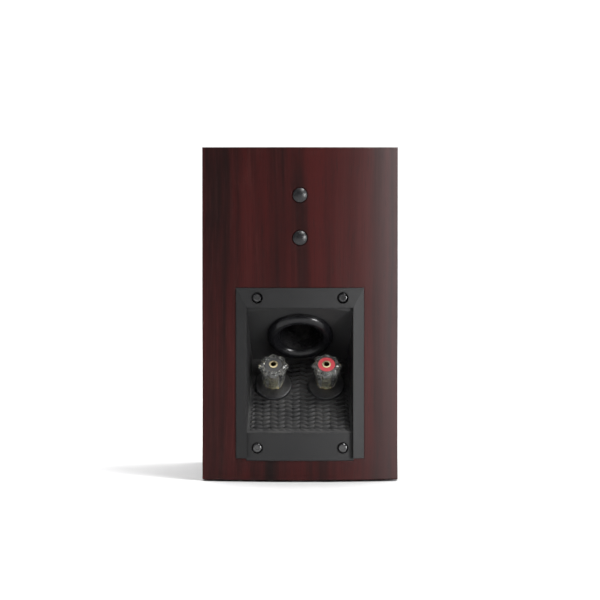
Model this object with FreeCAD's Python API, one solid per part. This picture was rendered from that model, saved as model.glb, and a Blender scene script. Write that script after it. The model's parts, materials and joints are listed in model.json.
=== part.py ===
"""Two-way bookshelf speaker: curved-back veneered cabinet, rear terminal recess with port, and both drivers.

Millimetres. +Z is up, the front baffle faces -Y and the curved back faces +Y.
The origin is on the floor, under the middle of the whole object's box.
"""
import FreeCAD, Part
import math
import os

V = FreeCAD.Vector

# ---- cabinet
width = 147.0
height = 250.0              # cabinet alone, without the feet
depth = 215.0               # baffle face to the highest point of the curved back
back_sagitta = 12.0         # how far the back bulges between its corners
wall = 15.0                 # sides, top and bottom
baffle_thickness = 20.0
back_thickness = 24.0       # at the middle of the curve
back_edge_round = 0.8
baffle_edge_round = 2.0
foot_height = 1.2
foot_radius = 6.0
foot_inset = 16.0           # foot centre from the cabinet's edges
brace_thickness = 10.0
brace_rim = 14.0            # bar width round the brace's window
brace_setback = 76.0        # baffle face to the brace

driver_gap = 0.4            # driver flanges to their rebates
grille_socket_inset = 12.0  # socket centre from the baffle's edges
grille_peg_radius = 2.6
grille_socket_depth = 11.0
grille_socket_wall = 1.6
grille_socket_floor = 1.5
grille_socket_rim = 3.0     # width of the flange round the hole
grille_socket_flange = 0.6

# ---- terminal panel, heights measured from the cabinet's underside
panel_width = 96.0
panel_top = 144.5
panel_bottom = 15.0
rail_bottom = 16.7
recess_width = 80.0
recess_top = 129.85
recess_bottom = 35.8
recess_depth = 46.0         # from the top of the curve to the fold of the recess
fold_height = 89.4
recess_draft = 5.0          # degrees each side wall leans in
panel_lip = 0.6             # flange stands proud of the veneer
panel_seat = 3.0            # flange thickness let into the back
hood_slope = 0.256          # rise of the top strip per mm going down
panel_wall = 3.0
panel_gap = 0.3             # flange to its rebate
gasket_thickness = 1.0
panel_screw_spacing = 64.2
panel_screw_top = 137.1
panel_screw_bottom = 24.4
counterbore_radius = 4.4
counterbore_floor = 3.9     # below the top of the curve

# ---- port
port_bore_radius = 16.0
port_ring_radius = 25.0
port_ring_height = 5.5
port_tube_wall = 2.0
port_collar_wall = 2.4
port_collar_length = 14.0
port_tube_length = 88.0
port_bell_radius = 23.0
port_bell_length = 9.0
port_along = 0.52           # share of the upper slope, from its top edge

# ---- binding posts, lengths along the post from the lower slope
post_spacing = 40.0
post_along = 0.36           # share of the lower slope, from the fold
post_base_radius = 14.2
post_base_height = 2.4
post_base_round = 1.2
post_seat_radius = 5.6
post_seat_height = 0.6
post_radius = 3.3
post_top = 27.0
post_spigot_radius = 5.6
post_tail = 15.0            # stem behind the panel's wall
banana_radius = 2.05
banana_depth = 18.0
wire_hole_radius = 1.5
wire_hole_lift = 0.3        # hole's edge above the seat
clamp_radius = 6.2
clamp_height = 1.5
knob_top = 26.6
knob_foot_radius = 7.8
knob_waist_radius = 9.5
knob_crown_radius = 11.3
knob_crown_height = 7.0
knob_crown_round = 1.8
knob_lobes = 8
knob_lobe_sink = 0.35       # how much more than the lobes' rise is sunk in the body
knob_lobe_taper = 0.43      # share of the crown's height that the lobes' lead-in takes
knob_core_radius = 5.0
knob_ring_radius = 6.35
knob_ring_height = 5.0
running_gap = 0.1           # between pieces that slide or turn on each other
nut_flats = 10.0
nut_height = 3.2
washer_radius = 8.1
washer_height = 1.0
tag_thickness = 0.8
tag_width = 6.4
tag_length = 16.0
tag_eye = 5.2               # radius of the tag's round end

# ---- bracket inserts and their plugs, heights from the cabinet's underside
insert_upper = 214.1
insert_spacing = 32.0
insert_bore_radius = 2.5    # core of the M6 thread
insert_radius = 4.6
insert_length = 12.0
insert_sink = 7.0           # top of the curve to the insert's face
plug_radius = 5.3
plug_dome = 2.2
plug_rim = 0.5              # height of the dome's edge above the back
plug_wall = 1.4
plug_depth = 6.0
plug_gap = 0.2
plug_chamfer = 0.6

# ---- woofer, depths measured back from the baffle face
woofer_height = 78.0
woofer_flange_radius = 60.5
woofer_flange = 4.5
woofer_hole_radius = 50.5
woofer_screw_circle = 56.2
woofer_screws = 6
surround_inner = 41.0
surround_outer = 48.6
surround_skin = 0.9
surround_lip = 2.6          # flat lip each side of the roll
trim_width = 4.0            # step in the flange for the roll's lip and its trim ring
trim_inset = 0.8            # roll to the trim ring
trim_height = 0.9
roll_depth = 1.5           # baffle face to the underside of the roll's lips
cap_radius = 18.5
cap_rise = 5.2
cap_skin = 0.6
cone_skin = 0.8
cone_rim_gap = 0.2          # cone's edge to the roll
cone_bow = 0.7              # how far the cone's profile bows outward and back
cone_neck_depth = 19.0
coil_radius = 12.7
former_skin = 0.3
winding_skin = 0.6
coil_length = 11.0
coil_reach = 8.0            # end of the coil past the basket
spider_depth = 27.0
spider_outer = 36.0
spider_skin = 0.5
spider_flat = 2.0           # flat ring at the former
spider_waves = 5
spider_wave = 1.0           # height of the spider's waves with its skin
spider_ledge = 2.0
basket_depth = 41.0
basket_skin = 2.5
basket_gap = 1.0            # basket to the baffle's hole
basket_eye = 3.5            # basket's rear opening to the coil
basket_windows = 6
basket_window = 30.0
basket_rim = 3.5            # bar left above and below each window
basket_seat_radius = 40.5
top_plate = 5.0
magnet_length = 15.0
magnet_radius = 38.0
magnet_gap = 9.0            # coil to the magnet's hole
back_plate = 5.0
plate_step = 1.5            # steel plates are this much smaller than the magnet
pole_gap = 0.5
pole_rise = 1.0
pole_vent = 4.0
terminal_width = 26.0
terminal_height = 8.0
terminal_thickness = 2.0
blade_width = 4.8
blade_thickness = 0.8
blade_length = 15.0
blade_spacing = 14.0

# ---- tweeter
tweeter_height = 186.0
faceplate_radius = 46.0
faceplate = 4.0
tweeter_hole_radius = 37.0
tweeter_screw_circle = 40.0
tweeter_screws = 4
dome_radius = 13.5
dome_height = 5.2
dome_skin = 0.35
dome_seat = 3.0             # depth of the dome's rim
dome_roll = 3.0             # width of the dome's suspension
dome_roll_rise = 1.1
faceplate_gap = 0.6         # suspension to the faceplate's hole
flare_width = 12.0          # dip round the dome
tweeter_coil_skin = 0.4
tweeter_coil_step = 0.5     # coil inside the dome's edge
tweeter_coil_gap = 0.35
tweeter_coil_reach = 1.0    # end of the coil past the top plate
tweeter_spacer = 2.0
tweeter_top_plate = 4.0
tweeter_back_plate = 4.0
tweeter_motor_radius = 31.0
tweeter_motor_depth = 24.0
tweeter_magnet_radius = 33.0
tweeter_cup_depth = 40.0
tweeter_cup_wall = 2.5
tweeter_blade_spacing = 18.0
tweeter_blade_width = 3.2
tweeter_blade_length = 7.0

# ---- crossover, foam and leads
board_width = 84.0
board_length = 66.0
board_thickness = 1.6
board_inset = 5.0           # corner screws from the board's edges
board_screw_radius = 1.5
board_head_radius = 2.8
board_head_height = 1.8
spacer_radius = 3.2
standoff = 5.0
large_coil = (7.0, 15.0, 13.0)      # inner radius, outer radius, length
small_coil = (5.0, 10.0, 11.0)
resistor_side = 8.0
resistor_length = 19.0
foam_thickness = 9.0
foam_gap = 0.1
foam_setback = 3.0          # foam to the brace and to the back
foam_lift = 12.0            # foam above the floor of the cabinet
lead_radius = 1.1

# ---- screws
screw_head_radius = 3.7
screw_head_height = 2.2
screw_shank_radius = 1.75
screw_length = 15.0
small_head_radius = 3.0
head_crown = 0.6            # share of the head's radius that its flat top covers
head_edge = 0.45            # share of the head's height that its straight edge takes
socket_fit = 0.3            # head to its counterbore
driver_screw_seat = 2.4
socket_flats = 2.9
socket_depth = 1.5

# ---- how far cutting shapes run past what they cut
past = 1.0
well_past = 20.0

# ---- places worked out from the sizes
rise = hood_slope * (panel_top - recess_top)
roll_radius = (surround_outer - surround_inner) / 2
front_reach = roll_radius + surround_skin - roll_depth
back_reach = panel_lip + rise
y_front = (front_reach - back_reach - depth) / 2
y_back = y_front + depth
back_radius = (width ** 2 / 4 + back_sagitta ** 2) / (2 * back_sagitta)
back_axis = y_back - back_radius
y_inside_front = y_front + baffle_thickness
y_inside_back = y_back - back_thickness
z_base = foot_height
z_top = z_base + height
half_recess = recess_width / 2
half_panel = panel_width / 2


def curve_at(x, offset=0.0):
    """y of the curved back, or of a surface that far outside it, at that x."""
    return back_axis + math.sqrt((back_radius + offset) ** 2 - x ** 2)


def up(local):
    """Height above the floor of a height above the cabinet's underside."""
    return z_base + local


slope_front = V(0, curve_at(half_recess, panel_lip), up(recess_bottom))
hood_front = V(0, curve_at(half_recess, panel_lip) + rise, up(recess_top))
fold = V(0, y_back - recess_depth, up(fold_height))


def between(a, b, share):
    return a + (b - a) * share


def across(a, b):
    """Unit vector in the YZ plane at right angles to a to b, pointing out of the recess."""
    run = b - a
    normal = V(0, run.z, -run.y)
    normal.normalize()
    return normal if normal.y > 0 else normal * -1


post_axis = across(fold, slope_front)
port_axis = across(hood_front, fold)
port_centre = between(hood_front, fold, port_along)


def post_foot(side):
    """Where a post's axis meets the lower slope; side is +1 or -1 along X."""
    return between(fold, slope_front, post_along) + V(side * post_spacing / 2, 0, 0)


# ---- helpers
def box(x0, x1, y0, y1, z0, z1):
    return Part.makeBox(x1 - x0, y1 - y0, z1 - z0, V(x0, y0, z0))


def cylinder(radius, length, at, axis):
    return Part.makeCylinder(radius, length, at, axis)


def prism(points, direction):
    """Closed polygon pushed along a vector."""
    return Part.Face(Part.makePolygon(list(points) + [points[0]])).extrude(direction)


def placed(shape, at, axis):
    """A shape built along +Z from the origin, moved so that +Z points along axis."""
    moved = shape.copy()
    moved.Placement = FreeCAD.Placement(at, FreeCAD.Rotation(V(0, 0, 1), axis))
    return moved


def turned(points):
    """Closed profile of (radius, height) turned about the Z axis."""
    corners = [V(r, 0, h) for r, h in points]
    face = Part.Face(Part.makePolygon(corners + [corners[0]]))
    return face.revolve(V(0, 0, 0), V(0, 0, 1), 360)


def turned_wire(edges):
    """Closed profile of edges in the XZ plane turned about the Z axis."""
    return Part.Face(Part.Wire(edges)).revolve(V(0, 0, 0), V(0, 0, 1), 360)


def ring(inner, outer, low, high):
    return turned([(inner, low), (outer, low), (outer, high), (inner, high)])


def line(a, b):
    return Part.LineSegment(V(a[0], 0, a[1]), V(b[0], 0, b[1])).toShape()


def arc(a, b, c):
    return Part.Arc(V(a[0], 0, a[1]), V(b[0], 0, b[1]), V(c[0], 0, c[1])).toShape()


def group(shapes):
    return Part.makeCompound(shapes)


def dome_arc(radius, rim, peak):
    """Arc from the rim to the axis whose centre is on the axis, so that it turns into part of a ball."""
    tall = peak - rim
    ball = (radius ** 2 + tall ** 2) / (2 * tall)
    half = math.asin(radius / abs(ball)) / 2
    sign = 1 if tall > 0 else -1
    middle = (abs(ball) * math.sin(half), peak - sign * abs(ball) * (1 - math.cos(half)))
    return arc((radius, rim), middle, (0, peak))


def dome_shell(radius, rim, peak, skin):
    """Thin cap of a ball, its outside through (radius, rim) and (0, peak)."""
    inner = peak - skin if peak > rim else peak + skin
    outside = turned_wire([dome_arc(radius, rim, peak), line((0, peak), (0, rim)),
                           line((0, rim), (radius, rim))])
    inside = turned_wire([dome_arc(radius - skin, rim, inner), line((0, inner), (0, rim)),
                          line((0, rim), (radius - skin, rim))])
    return outside.cut(inside)


def on_front(shape, centre_height):
    """A shape built with +Z as depth behind the baffle face, put on the front."""
    return placed(shape, V(0, y_front, up(centre_height)), V(0, 1, 0))


def hexagon(flats, length):
    corner = flats / math.sqrt(3)
    points = [V(corner * math.cos(a), corner * math.sin(a), 0) for a in
              [math.radians(60 * n) for n in range(6)]]
    return prism(points, V(0, 0, length))


def socket_screw(head_radius, length):
    """Button-head screw with a hexagon socket; the head's seat is at z 0 and the shank points down."""
    crown = head_radius * head_crown
    edge = screw_head_height * head_edge
    head = turned_wire([
        line((0, 0), (head_radius, 0)), line((head_radius, 0), (head_radius, edge)),
        arc((head_radius, edge), ((head_radius + crown) / 2 + 0.25, screw_head_height * 0.82),
            (crown, screw_head_height)),
        line((crown, screw_head_height), (0, screw_head_height)),
        line((0, screw_head_height), (0, 0)),
    ])
    tip = screw_shank_radius
    shank = turned([(0, 0), (screw_shank_radius, 0), (screw_shank_radius, tip - length), (0, -length)])
    socket = hexagon(socket_flats, socket_depth + 1)
    socket.translate(V(0, 0, screw_head_height - socket_depth))
    return head.fuse(shank).cut(socket)


def screw_hole(length):
    """The hole that a screw's shank fills, built like the screw."""
    tip = screw_shank_radius
    return turned([(0, 1), (screw_shank_radius, 1), (screw_shank_radius, tip - length), (0, -length)])


def tube(points, radius):
    """Round lead along straight runs joined by tangent arcs as large as the runs allow."""
    edges = []
    start = points[0]
    for before, corner, after in zip(points, points[1:], points[2:]):
        a = before - corner
        b = after - corner
        half = (math.pi - a.getAngle(b)) / 2
        reach = 0.45 * min(a.Length, b.Length)
        bend = reach / math.tan(half)
        a.normalize()
        b.normalize()
        middle_way = a + b
        middle_way.normalize()
        first = corner + a * reach
        last = corner + b * reach
        middle = corner + middle_way * (bend / math.cos(half) - bend)
        edges.append(Part.LineSegment(start, first).toShape())
        edges.append(Part.Arc(first, middle, last).toShape())
        start = last
    edges.append(Part.LineSegment(start, points[-1]).toShape())
    path = Part.Wire(edges)
    section = Part.Wire(Part.makeCircle(radius, points[0], points[1] - points[0]))
    return path.makePipeShell([section], True, False)


# ---- cabinet
def mitred_wall(corners):
    """One wall of the mitred sleeve; corners are (x, z), and it runs from baffle to back."""
    points = [V(x, y_inside_front, z) for x, z in corners]
    return prism(points, V(0, y_inside_back - y_inside_front, 0))


def sleeve():
    half = width / 2
    inner = half - wall
    return {
        "side_panel_left": mitred_wall([(-half, z_base), (-half, z_top),
                                        (-inner, z_top - wall), (-inner, z_base + wall)]),
        "side_panel_right": mitred_wall([(half, z_base), (half, z_top),
                                         (inner, z_top - wall), (inner, z_base + wall)]),
        "top_panel": mitred_wall([(-half, z_top), (half, z_top),
                                  (inner, z_top - wall), (-inner, z_top - wall)]),
        "bottom_panel": mitred_wall([(-half, z_base), (half, z_base),
                                     (inner, z_base + wall), (-inner, z_base + wall)]),
    }


def curved_slab(inner_offset, outer_offset, half_width, low, high):
    """Part of the curved shell between two offsets from the back's surface."""
    at = V(0, back_axis, low)
    outer = Part.makeCylinder(back_radius + outer_offset, high - low, at)
    inner = Part.makeCylinder(back_radius + inner_offset, high - low, at)
    window = box(-half_width, half_width, y_inside_back - well_past, y_back + well_past, low, high)
    return outer.common(window).cut(inner)


def insert_places():
    return [V(0, y_back, up(insert_upper)), V(0, y_back, up(insert_upper - insert_spacing))]


def panel_screw_places():
    half = panel_screw_spacing / 2
    seat = y_back - counterbore_floor
    return [V(x, seat, up(z)) for x in (-half, half) for z in (panel_screw_bottom, panel_screw_top)]


def back_panel():
    half = width / 2
    block = box(-half, half, y_inside_back, y_back + past, z_base, z_top)
    shell = Part.makeCylinder(back_radius, height, V(0, back_axis, z_base))
    panel = block.common(shell)
    edges = [e for e in panel.Edges if e.BoundBox.YMin > y_inside_back + past]
    panel = panel.makeFillet(back_edge_round, edges)
    rebate = -panel_seat - gasket_thickness
    reach = half_panel + panel_gap
    tab = half_recess + panel_gap
    ledge = up(rail_bottom - panel_gap)
    panel = panel.cut(curved_slab(rebate, past, reach, ledge, up(panel_top + panel_gap)))
    panel = panel.cut(curved_slab(rebate, past, tab, up(panel_bottom - panel_gap), ledge + past))
    side = half_recess + panel_wall + panel_gap
    panel = panel.cut(box(-side, side, y_inside_back - past, y_back + well_past,
                          up(recess_bottom) - panel_wall - panel_gap,
                          up(recess_top) + panel_wall + panel_gap))
    collar = port_bore_radius + port_tube_wall + port_collar_wall + panel_gap
    panel = panel.cut(cylinder(collar, port_tube_length, port_centre, port_axis * -1))
    for at in insert_places():
        bore = plug_radius + plug_gap
        panel = panel.cut(cylinder(bore, insert_sink + past, at + V(0, past, 0), V(0, -1, 0)))
        flare = Part.makeCone(bore, bore + plug_chamfer, plug_chamfer, at - V(0, plug_chamfer, 0), V(0, 1, 0))
        panel = panel.cut(flare)
        panel = panel.cut(cylinder(insert_radius, insert_sink + insert_length, at, V(0, -1, 0)))
    for at in panel_screw_places():
        panel = panel.cut(placed(screw_hole(screw_length), at, V(0, 1, 0)))
    return panel


def hole_circle(count, circle):
    """Centres of a driver's screws round its own axis; no hole lies straight above or beside the axis."""
    turns = [math.pi * (2 * n + 1) / count for n in range(count)]
    return [V(circle * math.cos(a), circle * math.sin(a), 0) for a in turns]


woofer_holes = hole_circle(woofer_screws, woofer_screw_circle)
tweeter_holes = hole_circle(tweeter_screws, tweeter_screw_circle)


def driver_screw_places():
    """Seats of every driver screw, on the front."""
    seat = y_front + driver_screw_seat
    places = [V(at.x, seat, up(woofer_height) - at.y) for at in woofer_holes]
    return places + [V(at.x, seat, up(tweeter_height) - at.y) for at in tweeter_holes]


def grille_socket_places():
    x = width / 2 - grille_socket_inset
    low = grille_socket_inset
    return [V(sx * x, y_front, up(z)) for sx in (-1, 1) for z in (low, height - low)]


def grille_sockets():
    """Flanged plastic guides let into the baffle, for a cloth frame's pegs."""
    r = grille_peg_radius
    outer = r + grille_socket_wall
    rim = r + grille_socket_rim
    deep = grille_socket_depth
    floor = deep - grille_socket_floor
    guide = turned([(r, -grille_socket_flange), (rim, -grille_socket_flange), (rim, 0), (outer, 0),
                    (outer, deep), (0, deep), (0, floor), (r, floor)])
    return group([placed(guide, at, V(0, 1, 0)) for at in grille_socket_places()])


def front_baffle():
    half = width / 2
    panel = box(-half, half, y_front, y_inside_front, z_base, z_top)
    edges = [e for e in panel.Edges if e.BoundBox.YMax < y_front + past]
    panel = panel.makeFillet(baffle_edge_round, edges)
    woofer_rebate = woofer_flange + gasket_thickness
    rebates = [
        (woofer_flange_radius + driver_gap, woofer_rebate, woofer_hole_radius, woofer_height),
        (faceplate_radius + driver_gap, faceplate, tweeter_hole_radius, tweeter_height),
    ]
    for radius, depth_in, hole, centre in rebates:
        panel = panel.cut(on_front(ring(0, radius, -past, depth_in), centre))
        panel = panel.cut(on_front(ring(0, hole, -past, baffle_thickness + past), centre))
    for at in driver_screw_places():
        panel = panel.cut(placed(screw_hole(screw_length), at, V(0, -1, 0)))
    guide = grille_peg_radius + grille_socket_wall
    for at in grille_socket_places():
        panel = panel.cut(cylinder(guide, grille_socket_depth, at, V(0, 1, 0)))
    return panel


def brace():
    half = width / 2 - wall
    y0 = y_front + brace_setback
    low = z_base + wall
    high = z_top - wall
    frame = box(-half, half, y0, y0 + brace_thickness, low, high)
    window = box(-half + brace_rim, half - brace_rim, y0 - past, y0 + brace_thickness + past,
                 low + brace_rim, high - brace_rim)
    return frame.cut(window)


def feet():
    x = width / 2 - foot_inset
    near = y_front + foot_inset
    far = y_back - back_sagitta - foot_inset
    pads = [cylinder(foot_radius, foot_height, V(sx * x, y, 0), V(0, 0, 1))
            for sx in (-1, 1) for y in (near, far)]
    return group(pads)


# ---- terminal panel
def mitre(first, second):
    """Step to the corner of two walls of thickness 1 whose unit normals are given."""
    return (first + second) * (1 / (1 + first.dot(second)))


def recess_prism(grow):
    """The recess as a solid: a V profile with leaning side walls, grown by a wall thickness."""
    half = half_recess + grow
    reach = y_back + well_past
    deep = fold - mitre(port_axis, post_axis) * grow
    top = hood_front - mitre(port_axis, V(0, 0, -1)) * grow
    low = slope_front - mitre(post_axis, V(0, 0, 1)) * grow
    profile = [V(-half, y, z) for y, z in
               ((reach, top.z), (top.y, top.z), (deep.y, deep.z), (low.y, low.z), (reach, low.z))]
    solid = prism(profile, V(2 * half, 0, 0))
    lean = math.tan(math.radians(recess_draft))
    far = fold.y - 3 * panel_wall
    inner = half - lean * (slope_front.y - far)
    low_z = up(recess_bottom) - well_past
    plan = [V(-half, reach, low_z), V(-half, slope_front.y, low_z), V(-inner, far, low_z),
            V(inner, far, low_z), V(half, slope_front.y, low_z), V(half, reach, low_z)]
    return solid.common(prism(plan, V(0, 0, recess_top - recess_bottom + 2 * well_past)))


def hood():
    """Top strip and side rails: they rise from the flange towards the edge of the recess."""
    tall = panel_top - rail_bottom
    edge = half_panel + past
    behind = fold.y
    z = up(panel_top)
    side_y = curve_at(edge, panel_lip)
    plan = Part.Wire([
        Part.Arc(V(-edge, side_y, z), V(0, curve_at(0, panel_lip), z), V(edge, side_y, z)).toShape(),
        Part.LineSegment(V(edge, side_y, z), V(edge, behind, z)).toShape(),
        Part.LineSegment(V(edge, behind, z), V(-edge, behind, z)).toShape(),
        Part.LineSegment(V(-edge, behind, z), V(-edge, side_y, z)).toShape(),
    ])
    leaning = Part.Face(plan).extrude(V(0, hood_slope * tall, -tall))
    outer_y = curve_at(half_panel, panel_lip)
    inner_y = hood_front.y
    pitch = (inner_y - outer_y) / (half_panel - half_recess)
    base_y = y_back - back_thickness / 2
    z_low = up(rail_bottom)
    roof = [V(-half_panel, base_y, z_low), V(-half_panel, outer_y, z_low),
            V(0, outer_y + pitch * half_panel, z_low), V(half_panel, outer_y, z_low),
            V(half_panel, base_y, z_low)]
    solid = leaning.common(prism(roof, V(0, 0, tall)))
    clear_y = y_back + 2 * well_past
    mouth = box(-half_recess, half_recess, base_y - past, clear_y, z_low - past, up(recess_top))
    low = V(0, back_axis, z_low - past)
    behind_flange = Part.makeCylinder(back_radius - panel_seat, tall + 2 * past, low)
    return solid.cut(mouth).cut(behind_flange)


def panel_screw_bore(at):
    return cylinder(screw_shank_radius, 2 * well_past, at + V(0, well_past, 0), V(0, -1, 0))


def terminal_panel():
    flange = curved_slab(-panel_seat, panel_lip, half_panel, up(rail_bottom), up(panel_top))
    tab = curved_slab(-panel_seat, panel_lip, half_recess, up(panel_bottom), up(rail_bottom))
    inside = Part.makeCylinder(back_radius, height, V(0, back_axis, z_base))
    cup = recess_prism(panel_wall).common(inside)
    panel = flange.fuse([tab, hood(), cup]).cut(recess_prism(0))
    hole = port_bore_radius + port_tube_wall + port_collar_wall + running_gap
    panel = panel.cut(cylinder(hole, 2 * well_past, port_centre + port_axis * well_past, port_axis * -1))
    for side in (-1, 1):
        at = post_foot(side)
        panel = panel.cut(cylinder(post_spigot_radius, 2 * panel_wall, at + post_axis * past, post_axis * -1))
    for at in panel_screw_places():
        panel = panel.cut(cylinder(counterbore_radius, well_past, at, V(0, 1, 0)))
        panel = panel.cut(panel_screw_bore(at))
    return panel.removeSplitter()


def terminal_gasket():
    inner = -panel_seat - gasket_thickness
    pad = curved_slab(inner, -panel_seat, half_panel, up(rail_bottom), up(panel_top))
    tab = curved_slab(inner, -panel_seat, half_recess, up(panel_bottom), up(rail_bottom))
    pad = pad.fuse(tab)
    side = half_recess + panel_wall + panel_gap
    hole = box(-side, side, y_inside_back, y_back + past, up(recess_bottom) - panel_wall - panel_gap,
               up(recess_top) + panel_wall + panel_gap)
    pad = pad.cut(hole)
    for at in panel_screw_places():
        pad = pad.cut(panel_screw_bore(at))
    return pad.removeSplitter()


def terminal_screws():
    return group([placed(socket_screw(screw_head_radius, screw_length), at, V(0, 1, 0))
                  for at in panel_screw_places()])


# ---- port
def port_flare():
    """Rounded ring on the slope, with a collar behind it that holds the tube."""
    b = port_bore_radius
    tube_outer = b + port_tube_wall
    collar = tube_outer + port_collar_wall
    middle = (b + port_ring_radius) / 2
    ledge = -panel_wall
    edges = [
        line((b, ledge), (b, 0)), arc((b, 0), (middle, port_ring_height), (port_ring_radius, 0)),
        line((port_ring_radius, 0), (collar, 0)), line((collar, 0), (collar, -port_collar_length)),
        line((collar, -port_collar_length), (tube_outer, -port_collar_length)),
        line((tube_outer, -port_collar_length), (tube_outer, ledge)),
        line((tube_outer, ledge), (b, ledge)),
    ]
    return placed(turned_wire(edges), port_centre, port_axis)


def port_tube():
    """Tube that pushes into the flare's collar and opens into a bell inside the cabinet."""
    b = port_bore_radius
    outer = b + port_tube_wall
    start = -panel_wall
    end = start - port_tube_length
    bell = end + port_bell_length
    spread = port_bell_radius - b
    swing = 1 - math.sqrt(0.5)
    edges = [
        line((b, start), (outer, start)), line((outer, start), (outer, bell)),
        arc((outer, bell), (outer + spread * swing, end + port_bell_length * swing),
            (port_bell_radius + port_tube_wall, end)),
        line((port_bell_radius + port_tube_wall, end), (port_bell_radius, end)),
        arc((port_bell_radius, end), (b + spread * swing, end + port_bell_length * swing), (b, bell)),
        line((b, bell), (b, start)),
    ]
    return placed(turned_wire(edges), port_centre, port_axis)


# ---- binding posts
def post_base():
    """Insulating foot: a rounded disc on the slope with a spigot through the panel's wall."""
    r = post_base_radius
    h = post_base_height
    soft = post_base_round
    swing = soft * (1 - math.sqrt(0.5))
    edges = [
        line((post_radius, -panel_wall), (post_radius, h)), line((post_radius, h), (r - soft, h)),
        arc((r - soft, h), (r - swing, h - swing), (r, h - soft)),
        line((r, h - soft), (r, 0)), line((r, 0), (post_spigot_radius, 0)),
        line((post_spigot_radius, 0), (post_spigot_radius, -panel_wall)),
        line((post_spigot_radius, -panel_wall), (post_radius, -panel_wall)),
    ]
    return turned_wire(edges)


def post_stem():
    """Threaded stem with its seat ring, wire hole and socket for a banana plug."""
    seat_top = post_base_height + post_seat_height
    stem = turned([(0, -panel_wall - post_tail), (post_radius, -panel_wall - post_tail),
                   (post_radius, post_base_height), (post_seat_radius, post_base_height),
                   (post_seat_radius, seat_top), (post_radius, seat_top),
                   (post_radius, post_top), (0, post_top)])
    banana_floor = V(0, 0, post_top - banana_depth)
    stem = stem.cut(cylinder(banana_radius, banana_depth + past, banana_floor, V(0, 0, 1)))
    hole_at = V(-post_seat_radius, 0, seat_top + wire_hole_radius + wire_hole_lift)
    return stem.cut(cylinder(wire_hole_radius, 2 * post_seat_radius, hole_at, V(1, 0, 0)))


def post_hardware():
    """Washer, solder tag and two nuts behind the panel."""
    washer_z = -panel_wall - washer_height
    nut_z = washer_z - nut_height
    tag_z = nut_z - tag_thickness
    up_z = V(0, 0, 1)
    washer = ring(post_radius, washer_radius, washer_z, -panel_wall)
    nut = hexagon(nut_flats, nut_height).cut(cylinder(post_radius, nut_height, V(0, 0, 0), up_z))
    tag = box(-tag_width / 2, tag_width / 2, 0, tag_length, tag_z, nut_z)
    tag = tag.fuse(cylinder(tag_eye, tag_thickness, V(0, 0, tag_z), up_z))
    tag = tag.cut(cylinder(post_radius, tag_thickness, V(0, 0, tag_z), up_z))
    nuts = [placed(nut, V(0, 0, z), up_z) for z in (nut_z, tag_z - nut_height)]
    return group([washer, tag.removeSplitter()] + nuts)


clamp_low = post_base_height + post_seat_height
knob_low = clamp_low + clamp_height


def clamp_washer():
    return ring(post_radius + running_gap, clamp_radius, clamp_low, knob_low)


def knob_core():
    return ring(post_radius + running_gap, knob_core_radius, knob_low, knob_top - knob_ring_height)


def knob_ring():
    return ring(post_radius + running_gap, knob_ring_radius, knob_top - knob_ring_height, knob_top)


def knob_shell():
    """Clear cap: it widens from its foot to a crown with rounded lobes."""
    crown_low = knob_top - knob_crown_height
    soft = knob_crown_round
    body = turned([(knob_core_radius, knob_low), (knob_foot_radius, knob_low),
                   (knob_waist_radius, crown_low), (knob_waist_radius, knob_top - soft),
                   (knob_waist_radius - soft / 2, knob_top), (knob_core_radius, knob_top)])
    lobe = knob_crown_radius - knob_waist_radius + knob_lobe_sink
    centre = knob_crown_radius - lobe
    taper = knob_crown_height * knob_lobe_taper
    straight = knob_top - soft - crown_low - taper
    lobes = []
    for n in range(knob_lobes):
        a = 2 * math.pi * n / knob_lobes
        at = V(centre * math.cos(a), centre * math.sin(a), crown_low)
        lobes.append(Part.makeCone(lobe * 0.45, lobe, taper, at, V(0, 0, 1)))
        lobes.append(cylinder(lobe, straight, at + V(0, 0, taper), V(0, 0, 1)))
        lobes.append(Part.makeCone(lobe, lobe * 0.4, soft, at + V(0, 0, taper + straight), V(0, 0, 1)))
    shell = body.fuse(lobes)
    seat = ring(0, knob_ring_radius, knob_top - knob_ring_height, knob_top + past)
    bore = ring(0, knob_core_radius, knob_low - past, knob_top + past)
    return shell.cut(seat.fuse(bore)).removeSplitter()


def binding_post(side):
    """Every piece of one post, placed on the lower slope."""
    at = post_foot(side)
    pieces = {
        "post_base": post_base(), "post_stem": post_stem(), "post_hardware": post_hardware(),
        "clamp_washer": clamp_washer(), "knob_core": knob_core(), "knob_ring": knob_ring(),
        "knob_shell": knob_shell(),
    }
    return {name: placed(shape, at, post_axis) for name, shape in pieces.items()}


# ---- bracket inserts
def bracket_inserts():
    sleeves = []
    for at in insert_places():
        seat = at - V(0, insert_sink + insert_length, 0)
        body = cylinder(insert_radius, insert_length, seat, V(0, 1, 0))
        sleeves.append(body.cut(cylinder(insert_bore_radius, insert_length, seat, V(0, 1, 0))))
    return group(sleeves)


def insert_plug(at):
    """Push-in cover: a short body in the counterbore with a domed head."""
    r = plug_radius
    skirt = r - plug_wall
    roof = -plug_depth + plug_wall
    edges = [
        line((0, roof), (skirt, roof)),
        line((skirt, roof), (skirt, -plug_depth)), line((skirt, -plug_depth), (r, -plug_depth)),
        line((r, -plug_depth), (r, plug_rim)),
        dome_arc(r, plug_rim, plug_dome), line((0, plug_dome), (0, roof)),
    ]
    return placed(turned_wire(edges), at, V(0, 1, 0))


# ---- woofer, built with +Z as depth behind the baffle face

def shank_holes(holes):
    """Holes for the screws' shanks, through anything under the baffle face."""
    return group([cylinder(screw_shank_radius, baffle_thickness, at, V(0, 0, 1)) for at in holes])


def counterbores(holes):
    """Seats for the screws' heads."""
    top = V(0, 0, past)
    return group([cylinder(small_head_radius + socket_fit, driver_screw_seat + past, at - top, V(0, 0, 1))
                  for at in holes])


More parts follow.
